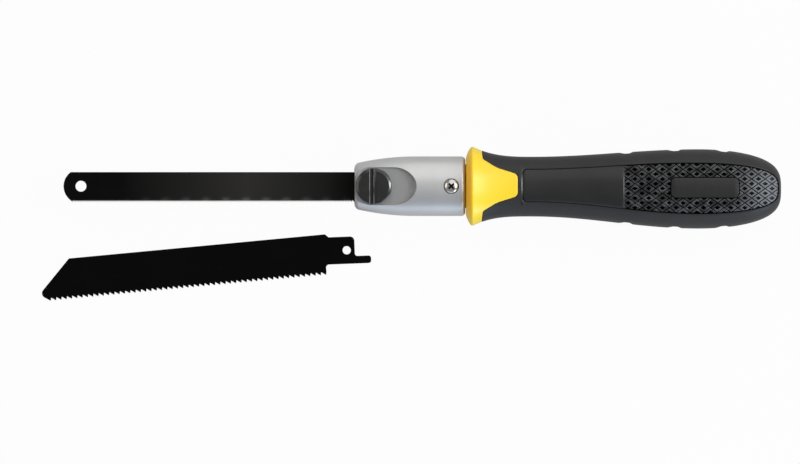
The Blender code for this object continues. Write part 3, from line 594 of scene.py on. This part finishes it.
def handlePoint(back, angle, inset=0.0):
    up, down, thick, middle = handleSize(back, inset)
    return oval(angle, up, down, thick, handleCurve["squareness"], middle)


def faceHeight(back, y, inset):
    # height of the handle's face over the middle plane, seen from above
    up, down, thick, middle = handleSize(back, inset)
    share = np.clip(np.abs(y - middle) / np.maximum(np.where(y > middle, up, down), mm / 1e3), 0, 1)
    return thick * (1 - share ** handleCurve["squareness"]) ** (1 / handleCurve["squareness"])


def handleStations(front, inset, fine, coarse):
    # places along the handle: close together at the crest, the seams and the butt
    h = handle
    crest = np.linspace(0, h["crest"], 14)
    seams = np.arange(h["crest"] + fine, h["waistBack"], fine)
    belly = np.arange(h["waistBack"], h["bellyBack"], coarse)
    reach = h["length"] - inset - h["bellyBack"]
    turn = np.arange(0, math.radians(72), coarse / reach)
    last = math.cos(turn[-1]) ** (2 / handleCurve["butt"])
    close = np.linspace(last, 0, 16)[1:]
    butt = np.concatenate((np.sin(turn), np.sqrt(1 - close ** handleCurve["butt"])))
    backs = np.concatenate((crest, seams, belly, h["bellyBack"] + reach * butt))
    return np.concatenate(([front], backs[backs > front + fine / 4]))


def rolledSkin(name, backs, angles, shape):
    # a grid sheet rolled into a skin; shape places each point by its row and its turn
    focus(None)
    rows, columns = len(backs) - 1, len(angles) - 1
    bpy.ops.mesh.primitive_grid_add(x_subdivisions=rows, y_subdivisions=columns, size=1)
    skin = bpy.context.object
    skin.name = name
    points = pointsOf(skin)
    row = np.rint((points[:, 0] + 0.5) * rows).astype(int)
    column = np.rint((points[:, 1] + 0.5) * columns).astype(int)
    movePoints(skin, np.stack(shape(backs[row], angles[column]), axis=1))
    return closeUp(skin)


def plainSkin(name, inset, front, coarse, around):
    def shape(back, angle):
        return back, *handlePoint(back, angle, inset)

    backs = handleStations(front, inset, coarse, coarse)
    return rolledSkin(name, backs, evenAngles(around, handleCurve["squareness"]), shape)


def slopedLip(distance, width):
    # an edge cut off at a slope, soft where it starts
    inside = np.clip(width - distance, 0, width)
    soft = width / 4
    return panelSlope * np.where(inside < soft, inside**2 / (2 * soft), inside - soft / 2)


def lip(distance, radius):
    # how far a rounded edge falls away, by the distance from the seam
    inside = np.clip(radius - distance, 0, radius)
    return radius - np.sqrt(radius**2 - inside**2)


# Outlines seen from above: the yellow core's collar and tongue, and the panel let into the grip
collar = metres(
    rear=6.9, lift=0.45, rootBack=7.65, rootHalf=12.0, rootRound=1.6,
    bendBack=14.0, bendHalf=8.05, bendRound=14.0, tipBack=23.7, tipHalf=5.0, tipRound=2.5, lip=0.4, seam=0.05,
)
panel = metres(
    front=26.0, topMargin=5.6, topDraw=0.6, bottomMargin=6.6, endMargin=1.1, corner=1.8,
    recess=0.4, depth=2.4, lowest=5.0, lip=0.75, polished=9.0, polishEnd=10.0,
)
panelSlope = math.tan(math.radians(24))
panel["end"] = handle["length"] - panel["endMargin"]
plate = metres(end=72.7, rise=0.2, edge=0.5, edgeDrop=0.23, slice=1.5, overlap=0.15)
plate["slices"] = 8  # to either side of the middle


def collarOutline(grow):
    c = collar
    side = handle["guardHeight"]
    rear = c["rear"] + grow
    sides = []
    for way in (-1, 1):
        corners = [(-side, way * side, 0), (rear, way * side, 0), (rear, way * side / 2, 0)]
        for place in ("root", "bend", "tip"):
            y = c["lift"] + way * (c[place + "Half"] + grow)
            corners.append((c[place + "Back"] + grow, y, c[place + "Round"]))
        sides.append(corners)
    return rounded(sides[0] + sides[1][::-1])


def panelOutline(shrink):
    p = panel
    belly, end = handle["bellyBack"], p["end"] - shrink
    backs = np.linspace(p["front"] + shrink, belly, 40)
    backs = np.sort(np.append(backs, (plate["end"] - plate["overlap"], plate["end"])))
    up, down, _, middle = handleSize(backs)
    drawn = p["topDraw"] * ((backs - backs[0]) / (belly - backs[0])) ** 2
    high = middle + up - p["topMargin"] - drawn - shrink
    low = middle - down + p["bottomMargin"] + shrink
    turns = np.linspace(0, 1, 32)[1:] * math.pi / 2
    half = (high[-1] - low[-1]) / 2 * np.cos(turns) ** (2 / handleCurve["butt"])
    middle = (high[-1] + low[-1]) / 2
    backs = np.append(backs, mix(belly, end, np.sin(turns)))
    top = list(zip(backs, np.append(high, middle + half), np.zeros(len(backs))))
    bottom = list(zip(backs, np.append(low, middle - half), np.zeros(len(backs))))
    top[0] = (*top[0][:2], p["corner"])
    bottom[0] = (*bottom[0][:2], p["corner"])
    outline = rounded(bottom + top[-2::-1])
    return [(float(x), float(y)) for x, y in outline]


# Grip sleeve
grip = metres(wall=4.6, barFront=5.0, fine=0.28, coarse=0.45, coreStep=4.0, barStep=3.0, pocketStep=2.0)
gripAround, barAround, pocketAround = 272, 40, 80  # points round each skin
scallop = metres(pitch=22.2, last=117.9, half=3.5, depth=0.62, soft=0.12)
scallop["fall"] = 0.5  # shares of the scallop's length over which it falls in and comes out again
scallop["climb"] = 0.3


def scallopDepth(back):
    depth = np.zeros(np.shape(back))
    for k in range(3):
        share = (back - scallop["last"] + k * scallop["pitch"]) / scallop["half"] / 2 + 0.5
        depth = np.maximum(depth, ease(share / scallop["fall"]) * ease((1 - share) / scallop["climb"]))
    return depth * scallop["depth"]


def pressScallops(back, y):
    # both edges of the grip are drawn in at the scallops
    up, down, _, middle = handleSize(back)
    depth = scallopDepth(back)
    soft = scallop["soft"] * np.clip(depth / scallop["soft"], 0, 1) + mm / 1e6
    for edge, side in ((up + middle, 1), (down - middle, -1)):
        excess = side * y - (edge - depth)
        y = y - side * np.where(depth > 0, (np.sqrt(excess**2 + soft**2) + excess) / 2, 0)
    return y


def makeGrip(look):
    collarSeam, panelSeam = collarOutline(collar["seam"]), panelOutline(0)

    def shape(back, angle):
        y, z = handlePoint(back, angle)
        nearPanel = slopedLip(outlineDistance(back, y, panelSeam), panel["lip"])
        onFace = np.clip((np.abs(z) - panel["lowest"] + mm) / mm, 0, 1)
        drop = np.maximum(lip(outlineDistance(back, y, collarSeam), collar["lip"]), nearPanel * onFace)
        y, z = handlePoint(back, angle, drop)
        return back, pressScallops(back, y), z

    backs = handleStations(0.0, 0.0, grip["fine"], grip["coarse"])
    sleeve = rolledSkin("gripSleeve", backs, evenAngles(gripAround, handleCurve["squareness"]), shape)
    reach = handle["guardHeight"]
    carve(sleeve, block("collarRoom", collarSeam, -reach, reach))
    wall, barFront = grip["wall"] - seatGap, grip["barFront"] - seatGap
    carve(sleeve, plainSkin("barRoom", wall, barFront, grip["barStep"], barAround))
    for side in (1, -1):
        levels = sorted((side * (panel["lowest"] - seatGap), side * reach))
        pocket = block("panelRoom", panelSeam, *levels)
        floor = panel["recess"] + panel["depth"] + seatGap
        carve(pocket, plainSkin("pocketFloor", floor, grip["barFront"], grip["pocketStep"], pocketAround))
        carve(sleeve, pocket)
    settle(sleeve, "gripSleeve", look, "saw", "grip_sleeve")


# Yellow core
spigot = metres(length=19.5, width=20.0, thickness=14.0, corner=4.0)
pilot = metres(ahead=6.8, diameter=4.0, floor=0.4, top=10.2)


def bar(name, grow, front, rear):
    # the rounded bar that joins the handle to the clamp body
    half, side = spigot["width"] / 2 + grow, spigot["thickness"] / 2 + grow
    corners = [(-half, -side), (half, -side), (half, side), (-half, side)]
    outline = rounded([(y, z, spigot["corner"]) for y, z in corners])
    piece = block(name, outline, front, rear)
    piece.data.transform(Matrix(((0, 0, 1, 0), (1, 0, 0, 0), (0, 1, 0, 0), (0, 0, 0, 1))))
    return piece


def makeCore(look):
    seam = collarOutline(0.0)

    def shape(back, angle):
        y, z = handlePoint(back, angle)
        return back, *handlePoint(back, angle, lip(outlineDistance(back, y, seam), collar["lip"]))

    backs = handleStations(0.0, 0.0, grip["fine"], grip["coreStep"])
    core = rolledSkin("handleCore", backs, evenAngles(gripAround, handleCurve["squareness"]), shape)
    reach = handle["guardHeight"]
    carve(core, block("collarShape", seam, -reach, reach), "INTERSECT")
    inner = plainSkin("bar", grip["wall"], grip["barFront"], grip["barStep"], barAround)
    carve(core, inner, "UNION")
    carve(core, bar("spigot", 0.0, -spigot["length"], handle["crest"]), "UNION")
    hole = circle((-pilot["ahead"], 0), pilot["diameter"] / 2)
    carve(core, block("pilot", hole, pilot["floor"], pilot["top"]))
    settle(core, "handleCore", look, "saw", "handle_core")


# Inlay panels: a smooth plate in front, a field of diamonds behind it, and a blank plaque
diamond = metres(
    long=6.3, wide=4.4, back=105.85, up=-1.1, groove=0.34, wall=0.08, relief=0.6, bevel=0.17, rim=0.38,
    pitSlope=0.45, pitDepth=1.1, sunk=0.1, border=0.3, bloomAhead=6.0,
)
diamondCells = 24
plaque = metres(back=109.7, drop=0.7, length=31.0, width=9.0, corner=2.2, moat=0.4, edge=0.3, root=2.0)
plaque["top"] = handle["guardThickness"] / 2


def sliceUp(places, normal):
    # cuts the open piece into slices, so that it can follow the handle's curve
    for place in places:
        bpy.ops.mesh.select_all(action="SELECT")
        bpy.ops.mesh.bisect(plane_co=place * Vector(normal), plane_no=normal)


def makePlate(outline):
    p = plate
    front = [point for point in outline if point[0] <= p["end"]]
    low = p["rise"] - p["edgeDrop"]
    piece = newMesh("frontPlate", [(x, y, low) for x, y in front], [], [range(len(front))])
    openEdit(piece)
    faceOutwards()
    if piece.data.polygons[0].normal.z < 0:
        piece.data.flip_normals()
    openEdit(piece)
    bpy.ops.mesh.inset(thickness=p["edge"], depth=p["edgeDrop"])
    bpy.ops.mesh.select_all(action="DESELECT")
    bpy.ops.mesh.select_non_manifold()
    bpy.ops.mesh.extrude_edges_move(TRANSFORM_OT_translate={"value": (0, 0, -panel["depth"] - low)})
    bpy.ops.mesh.edge_face_add()
    sliceUp(np.arange(panel["front"], p["end"], p["slice"])[1:], (1, 0, 0))
    sliceUp(np.arange(-p["slices"], p["slices"] + 1) * p["slice"], (0, 1, 0))
    faceOutwards()
    return piece


def makeField(outline):
    d = diamond
    focus(None)
    cells = diamondCells
    bpy.ops.mesh.primitive_grid_add(x_subdivisions=cells, y_subdivisions=cells, size=cells)
    piece = bpy.context.object
    openEdit(piece)
    bpy.ops.transform.rotate(value=math.pi / 4, orient_axis="Z", center_override=(0, 0, 0))
    scale = (d["long"] / math.sqrt(2), d["wide"] / math.sqrt(2), 1)
    bpy.ops.transform.resize(value=scale, center_override=(0, 0, 0))
    bpy.ops.transform.translate(value=(d["back"], d["up"], -panel["depth"]))
    closeEdit()
    middle, halfLong = (plate["end"] + panel["end"]) / 2, (panel["end"] - plate["end"]) / 2 + d["long"]

    def outOfReach(face):
        return abs(face.center.x - middle) > halfLong or abs(face.center.y) > handle["guardHeight"] / 2

    selectFaces(piece, outOfReach)
    bpy.ops.mesh.delete(type="FACE")
    bpy.ops.mesh.select_all(action="SELECT")
    lift = panel["depth"] - d["relief"] - d["sunk"]
    bpy.ops.mesh.extrude_region_move(TRANSFORM_OT_translate={"value": (0, 0, lift)})
    bpy.ops.mesh.inset(thickness=d["groove"] / 2, depth=0, use_individual=True)
    bpy.ops.mesh.inset(thickness=d["wall"], depth=d["relief"] - d["bevel"] / 2, use_individual=True)
    bpy.ops.mesh.inset(thickness=d["bevel"], depth=d["bevel"] / 2, use_individual=True)
    bpy.ops.mesh.inset(thickness=d["rim"], depth=0, use_individual=True)
    bpy.ops.mesh.inset(thickness=d["bevel"], depth=-d["bevel"] / 2, use_individual=True)
    bpy.ops.mesh.inset(thickness=d["pitSlope"], depth=-d["pitDepth"], use_individual=True)
    faceOutwards()
    rear = [point for point in outline if point[0] > plate["end"] - 1.5 * plate["overlap"]]
    carve(piece, block("fieldShape", rear, -2 * panel["depth"], panel["depth"]), "INTERSECT")
    return piece


def makeInlays(look):
    outline = panelOutline(seatGap)
    upper = makePlate(outline)
    carve(upper, makeField(panelOutline(seatGap + diamond["border"])), "UNION")
    points = pointsOf(upper)
    points[:, 2] += faceHeight(points[:, 0], points[:, 1], panel["recess"])
    movePoints(upper, points)

    q = plaque
    along, across = q["length"] / 2, q["width"] / 2

    def plaqueOutline(grow):
        x, y, corner = along + grow, across + grow, q["corner"] + grow
        corners = [(-x, -y), (x, -y), (x, y), (-x, y)]
        return rounded([(q["back"] + a, b - q["drop"], corner) for a, b in corners])

    level = handle["bellyThickness"] / 2 - panel["recess"]
    moatFloor = level - diamond["relief"] - 2 * diamond["sunk"]
    carve(upper, block("moat", plaqueOutline(q["moat"]), moatFloor, 2 * q["top"]))
    badge = block("plaque", plaqueOutline(0), level - q["root"], q["top"])
    selectFaces(badge, lambda face: face.normal.z > 0.9)
    bpy.ops.mesh.bevel(offset=q["edge"], segments=3, affect="EDGES")
    closeEdit()
    carve(upper, badge, "UNION")
    lower = upper.copy()
    lower.data = upper.data.copy()
    bpy.context.scene.collection.objects.link(lower)
    lower.data.transform(Matrix.Diagonal((1, 1, -1, 1)))
    lower.data.flip_normals()
    settle(upper, "inlayUpper", look, "saw", "inlay_upper", smooth=25)
    settle(lower, "inlayLower", look, "saw", "inlay_lower", smooth=25)


# Clamp body
clamp = metres(
    length=51.0, height=27.4, thickness=22.4, noseHeight=20.8, noseThickness=15.9, taper=28.0,
    noseRound=2.0, rearRound=1.8, mouthRound=0.35,
    slotWidth=14.9, slotLow=-2.4, slotHigh=2.85, slotDepth=21.5,
    flatFloor=6.95, flatWidth=17.4, flatLength=28.6, flatSlope=1.6,
    spotFloor=9.9, spotRadius=3.4, spotRim=0.08, spotWall=0.12, boreRadius=5.1, step=0.25,
)
clampCurve = {"squareness": 2.3, "slot": 24.0, "socket": 5.0, "around": 280}


def clampRings():
    # rings from the slot's end, out round the mouth and the nose, along the skin, and into the rear socket:
    # place along, half-height, half-thickness, height of the middle, squareness
    c = clamp
    rings = []
    slotHalf, slotMid = (c["slotHigh"] - c["slotLow"]) / 2, (c["slotHigh"] + c["slotLow"]) / 2
    slot = np.array((c["slotWidth"] / 2, slotHalf))
    turns = np.linspace(0, math.pi / 2, 9)
    for fromNose in np.linspace(c["slotDepth"], c["mouthRound"], 8):
        rings.append((fromNose, *slot, slotMid, clampCurve["slot"]))
    for a in turns[1:]:
        grow = c["mouthRound"] * (1 - math.cos(a))
        rings.append((c["mouthRound"] * (1 - math.sin(a)), *(slot + grow), slotMid, clampCurve["slot"]))
    lastMouth = np.array(rings[-1])
    nose = np.array((0, c["noseHeight"] / 2 - c["noseRound"], c["noseThickness"] / 2 - c["noseRound"], 0, 0))
    nose[4] = clampCurve["squareness"]
    for share in (0.25, 0.5, 0.75):
        rings.append(tuple(mix(lastMouth, nose, share)))
    rear = c["length"]
    front, last = c["noseRound"], c["rearRound"]
    stations = [(front * (1 - math.cos(a)), front * (1 - math.sin(a))) for a in turns]
    stations += [(x, 0) for x in np.arange(front + c["step"], rear - last, c["step"])]
    stations += [(rear - last * (1 - math.cos(a)), last * (1 - math.sin(a))) for a in turns[::-1]]
    for along, inset in stations:
        swell = 1 - (1 - min(1, along / c["taper"])) ** 2
        height = mix(c["noseHeight"], c["height"], swell) / 2 - inset
        thick = mix(c["noseThickness"], c["thickness"], swell) / 2 - inset
        rings.append((along, height, thick, 0, clampCurve["squareness"]))
    socket = (spigot["width"] / 2 + seatGap, spigot["thickness"] / 2 + seatGap, 0, clampCurve["socket"])
    rings.append(tuple(mix(np.array(rings[-1]), np.array((rear, *socket)), 0.5)))
    end = -noseBack - spigot["length"] - seatGap
    for along in np.linspace(rear, end, 10):
        rings.append((along, *socket))
    return np.array(rings)


def press(z, depthInside, floor, rim, wall):
    # lowers a surface to a floor inside an outline: a soft rim, then a wall that runs out hollow
    inside = np.clip(depthInside + rim, 0, rim + wall)
    run = np.where(inside < 2 * rim, inside**2 / (4 * rim), inside - rim) / wall
    return z - (1 - (1 - run) ** 2) * np.clip(z - floor, 0, None)


def pocketShape():
    # the obround flat that the knob turns over: upright sides, and an end wall that slopes up to the rear
    c = clamp
    half, end = c["flatWidth"] / 2, noseBack + c["flatLength"] - c["flatSlope"]
    front = noseBack - half
    turns = np.linspace(-math.pi / 2, math.pi / 2, 41)
    outline = [(front, half), (front, -half)]
    outline += [(end - half + half * math.cos(a), half * math.sin(a)) for a in turns]
    pocket = block("pocket", outline, c["flatFloor"], c["thickness"])
    points = pointsOf(pocket)
    slope = c["flatSlope"] * (c["thickness"] - c["flatFloor"]) / (c["thickness"] / 2 - c["flatFloor"])
    lean = np.clip((points[:, 0] - end + half) / half, 0, 1)
    points[:, 0] += np.where(points[:, 2] > c["flatFloor"] + mm, slope * lean, 0)
    movePoints(pocket, points)
    return pocket


def makeClampBody(look):
    c = clamp
    rings = clampRings()
    onSkin = rings[:, 4] == clampCurve["squareness"]
    spread = {square: evenAngles(clampCurve["around"], square) for square in set(rings[:, 4])}
    turns = np.array([spread[square] for square in rings[:, 4]])

    def shape(row, column):
        along, height, thick, middle, square = rings[row].T
        y, z = oval(turns[row, column], height, height, thick, square)
        z = z + middle
        skin = onSkin[row]
        inSpot = c["spotRadius"] - np.hypot(along + noseBack + pilot["ahead"], y)
        z = np.where(skin, press(z, inSpot, c["spotFloor"], c["spotRim"], c["spotWall"]), z)
        return noseBack + along, y, z

    body = rolledSkin("clampBody", np.arange(len(rings)), np.arange(clampCurve["around"] + 1), shape)
    carve(body, pocketShape())
    bore = circle((knobBack, 0), c["boreRadius"])
    carve(body, block("bushBore", bore, c["slotHigh"] - seatGap, c["thickness"]))
    hole = circle((-pilot["ahead"], 0), pilot["diameter"] / 2)
    carve(body, block("screwHole", hole, 0, c["thickness"]))
    settle(body, "clampBody", look, "saw", "clamp_body")


# Clamp screw: knob, threaded stud and grooved pin
knob = metres(
    diameter=16.5, floor=7.55, height=4.8, rim=1.25, rimDrop=0.5, rimRound=0.35, soft=0.18,
    stud=6.0, studEnd=1.35, pitch=1.0, thread=0.35, pin=3.4, pinGroove=2.2, pinShoulder=-0.2, pinEnd=-0.85,
    slotWidth=1.65, slotDepth=1.7, slotEdge=0.16, slotMiddle=-0.93, stepEnd=1.15, stepDepth=0.35,
)


def softCorner(before, corner, after, radius, count=4):
    # points of an arc that rounds a corner of a profile
    start = Vector(corner) + (Vector(before) - Vector(corner)).normalized() * radius
    end = Vector(corner) + (Vector(after) - Vector(corner)).normalized() * radius
    shares = [k / count for k in range(count + 1)]
    return [tuple(start * (1 - t) ** 2 + Vector(corner) * (2 * t * (1 - t)) + end * t * t) for t in shares]


def makeClampScrew(look):
    k = knob
    radius, top = k["diameter"] / 2, k["floor"] + k["height"]
    crown, edge = (radius - k["rim"], top), (radius, top - k["rimDrop"])
    profile = [(0, top), (crown[0] / 2, top)]
    profile += softCorner(profile[-1], crown, edge, k["soft"])
    profile += [tuple(mix(np.array(crown), np.array(edge), share)) for share in (0.25, 0.5, 0.65)]
    profile += softCorner(crown, edge, (radius, k["floor"]), k["rimRound"])
    profile += softCorner(edge, (radius, k["floor"]), (k["stud"] / 2, k["floor"]), k["soft"])
    profile += [(k["stud"] / 2, z) for z in np.linspace(k["floor"], k["studEnd"], 56)]
    profile += [(k["pin"] / 2, k["studEnd"]), (k["pin"] / 2, k["pinShoulder"])]
    profile += [(k["pinGroove"] / 2, k["pinShoulder"]), (k["pinGroove"] / 2, k["pinEnd"]), (0, k["pinEnd"])]
    screw = spun("clampScrew", profile, 96)
    cutThread(screw, k["studEnd"], k["floor"], k["stud"] / 2, k["thread"], k["pitch"])
    left, right = k["slotMiddle"] - k["slotWidth"] / 2, k["slotMiddle"] + k["slotWidth"] / 2
    edge, depth, step, end = k["slotEdge"], k["slotDepth"], k["stepDepth"], k["stepEnd"]
    slot = [(left, -depth), (right, -depth), (right, -step - edge), (right + edge, -step), (end, -step)]
    slot += [(end, -edge), (end + 2 * edge, edge), (left - 2 * edge, edge), (left, -edge)]
    cutter = block("coinSlot", slot, -radius * 2, radius * 2)
    cutter.data.transform(Matrix(((1, 0, 0, 0), (0, 0, -1, 0), (0, 1, 0, top), (0, 0, 0, 1))))
    carve(screw, cutter)
    place = sawPlace @ Matrix.Translation((knobBack, 0, 0))
    settle(screw, "clampScrew", look, "screw", "clamp_screw", place)


# Body screw: pan head with a cross recess
bodyScrew = metres(
    head=6.5, height=2.1, rim=0.735, soft=0.08, shank=3.4, length=9.5, seat=10.2, pitch=1.3, thread=0.45,
    recess=4.2, wing=1.0, recessDepth=1.5,
)
bodyScrew["turned"] = math.radians(42)
bodyScrew["recessTaper"] = 0.45  # how much of the recess is left at its bottom, along and across a wing
bodyScrew["wingTaper"] = 0.7


def makeBodyScrew(look):
    b = bodyScrew
    head, shank, seat = b["head"] / 2, b["shank"] / 2, b["seat"]
    turns = np.linspace(math.pi / 2, 0, 14)
    profile = [(head * math.cos(a), seat + mix(b["rim"], b["height"], math.sin(a))) for a in turns]
    profile[0] = (0, seat + b["height"])
    profile += [(head, seat + b["soft"]), (head - b["soft"], seat)]
    profile += [(shank, z) for z in np.linspace(seat, seat - b["length"] + shank, 48)]
    profile += [(0, seat - b["length"])]
    screw = spun("bodyScrew", profile, 48)
    cutThread(screw, seat - b["length"] + shank, seat, shank, b["thread"], b["pitch"])
    top = seat + b["height"]
    for turn in (b["turned"], b["turned"] + math.pi / 2):
        focus(None)
        bpy.ops.mesh.primitive_cube_add(size=1)
        wing = bpy.context.object
        points = pointsOf(wing)
        upper = points[:, 2] > 0
        points[:, 0] *= b["recess"] * np.where(upper, 1, b["recessTaper"])
        points[:, 1] *= b["wing"] * np.where(upper, 1, b["wingTaper"])
        points[:, 2] = np.where(upper, top + b["rim"] / 2, top - b["recessDepth"])
        movePoints(wing, points)
        wing.data.transform(Matrix.Rotation(turn, 4, "Z"))
        carve(screw, wing)
    place = sawPlace @ Matrix.Translation((-pilot["ahead"], 0, 0))
    settle(screw, "bodyScrew", look, "saw", "body_screw", place)


# Blades: the frame's own shapes, merged; the hacksaw's teeth are set in waves, with painted highlights on the
# crests and a painted sheen along the blade's middle
paintedBladeSheen = metres(ahead=49.0, reach=58.0, start=4.6, full=6.2, wave=9.25)
paintedBladeSheen["middle"] = shoulderX + noseBack - paintedBladeSheen["ahead"]
paintedBladeSheen["share"] = 0.36  # of a wave, from a crest of the set to the clamp screw's axis
paintedBladeSheen["bare"] = 0.045


def makeBlade(name, node, body, look):
    source = frame["nodes"][node]
    piece = newMesh(name, [], [], [])
    piece.data = source.data.copy()
    openEdit(piece)
    bpy.ops.mesh.remove_doubles(threshold=0.001 * mm)
    faceOutwards()
    settle(piece, name, look, body, node, Matrix.Identity(4), smooth=20)


# Make everything
makeClampBody(satinAlloy())
makeCore(yellowPlastic())
makeGrip(darkRubber())
makeInlays(darkPlastic())
makeClampScrew(darkKnobSteel())
makeBodyScrew(brightNickel())
hackLook = blackBlade("blackenedBlade", base=0.0015, sheen=2.0, specular=0.03, paintedSheen=paintedBladeSheen)
spareLook = blackBlade("blackenedSpare", base=0.0006, sheen=1.6, specular=0.05)
makeBlade("hacksawBlade", "hacksaw_blade", "blade", hackLook)
makeBlade("spareBlade", "spare_blade", "spare", spareLook)

# The small steel parts inside the clamp are the frame's own shapes
hiddenSteel = zincSteel()
for node in ("thread_bush", "pressure_plate", "retaining_clip"):
    piece = frame["nodes"][node]
    piece.data.materials.clear()
    piece.data.materials.append(hiddenSteel)

# Camera: straight down, as far off as a long lens needs for the photograph's width
photo = {"width": 800, "height": 464, "shoulderAcross": 466.0, "axisDown": 186.2, "lens": 800.0}
photo["pixel"] = 0.46 * mm  # at the height of the saw's axis
sensorWidth = 36.0

cameraData = bpy.data.cameras.new("camera")
cameraData.lens = photo["lens"]
cameraData.sensor_width = sensorWidth
cameraData.clip_end = 50
camera = bpy.data.objects.new("camera", cameraData)
camera.location = (
    shoulderX + (photo["width"] / 2 - photo["shoulderAcross"]) * photo["pixel"],
    axisY + (photo["axisDown"] - photo["height"] / 2) * photo["pixel"],
    axisZ + photo["width"] * photo["pixel"] * photo["lens"] / sensorWidth,
)
bpy.context.scene.collection.objects.link(camera)
bpy.context.scene.camera = camera

# Floor, white to the camera but still holding the saw's shadow
floorSize = {"width": 8.0, "gap": 0.2 * mm, "mirrored": 0.3, "white": 0.96}
focus(None)
floorPlace = (0, 0, cadBox[0].z - floorSize["gap"])
bpy.ops.mesh.primitive_plane_add(size=floorSize["width"], location=floorPlace)
floor = bpy.context.object
floor.name = "floor"
floorLook = Look("paleFloor", Base_Color=(0.5, 0.5, 0.5, 1), Roughness=0.9)
seen, shine, through = [
    floorLook.node("ShaderNodeLightPath", output=f"Is {ray} Ray")
    for ray in ("Camera", "Glossy", "Transmission")
]
seen = seen.atLeast(floorSize["mirrored"] * (shine + through))
glow = floorLook.node("ShaderNodeEmission", None, {"Color": (1, 1, 1, 1), "Strength": 1.0})
surface = Wire(floorLook, floorLook.shader.outputs[0])
mixed = floorLook.node("ShaderNodeMixShader", None, {0: floorSize["white"] * seen, 1: surface, 2: glow})
floorLook.tree.links.new(mixed.socket, floorLook.tree.nodes["Material Output"].inputs["Surface"])
floor.data.materials.append(floorLook.material)

# Soft studio light: a broad key over the upper side, a side lamp and a small spark from the butt's end,
# a warm one from beyond the blade's tip, and two cool ones low down on the teeth's side
# name, azimuth from +X, elevation, width, height, brightness, colour
lamps = [
    ("key", 75, 41, 1.9, 2.6, 0.93, (1.0, 0.985, 0.96)),
    ("side", 8, 40, 1.1, 1.4, 1.6, (1.0, 0.99, 0.97)),
    ("spark", 6, 47, 0.42, 0.42, 15.0, (1.0, 0.99, 0.97)),
    ("back", 172, 35, 1.2, 1.0, 1.5, (1.0, 0.93, 0.82)),
    ("fill", -88, 12, 2.6, 0.75, 0.96, (0.69, 0.82, 1.0)),
    ("rim", -45, 18, 0.9, 0.6, 8.0, (0.66, 0.80, 1.0)),
]
lampDistance = 1.7
target = Vector((shoulderX, axisY, axisZ))
for name, azimuth, elevation, width, height, brightness, colour in lamps:
    light = bpy.data.lights.new(name, "AREA")
    light.shape = "RECTANGLE"
    light.size, light.size_y = width, height
    light.energy = brightness * math.pi * width * height
    light.color = colour
    lamp = bpy.data.objects.new(name, light)
    around, over = math.radians(azimuth), math.radians(elevation)
    level = lampDistance * math.cos(over)
    offset = Vector((level * math.cos(around), level * math.sin(around), lampDistance * math.sin(over)))
    lamp.location = target + offset
    lamp.rotation_mode = "QUATERNION"
    lamp.rotation_quaternion = (-offset).to_track_quat("-Z", "Y")
    bpy.context.scene.collection.objects.link(lamp)

world = bpy.data.worlds.new("room")
world.use_nodes = True
room = world.node_tree.nodes["Background"]
room.inputs["Color"].default_value = (0.9, 0.92, 0.95, 1)
room.inputs["Strength"].default_value = 0.37
bpy.context.scene.world = world
bpy.context.scene.view_settings.view_transform = "Standard"
print("camera, floor and light set")
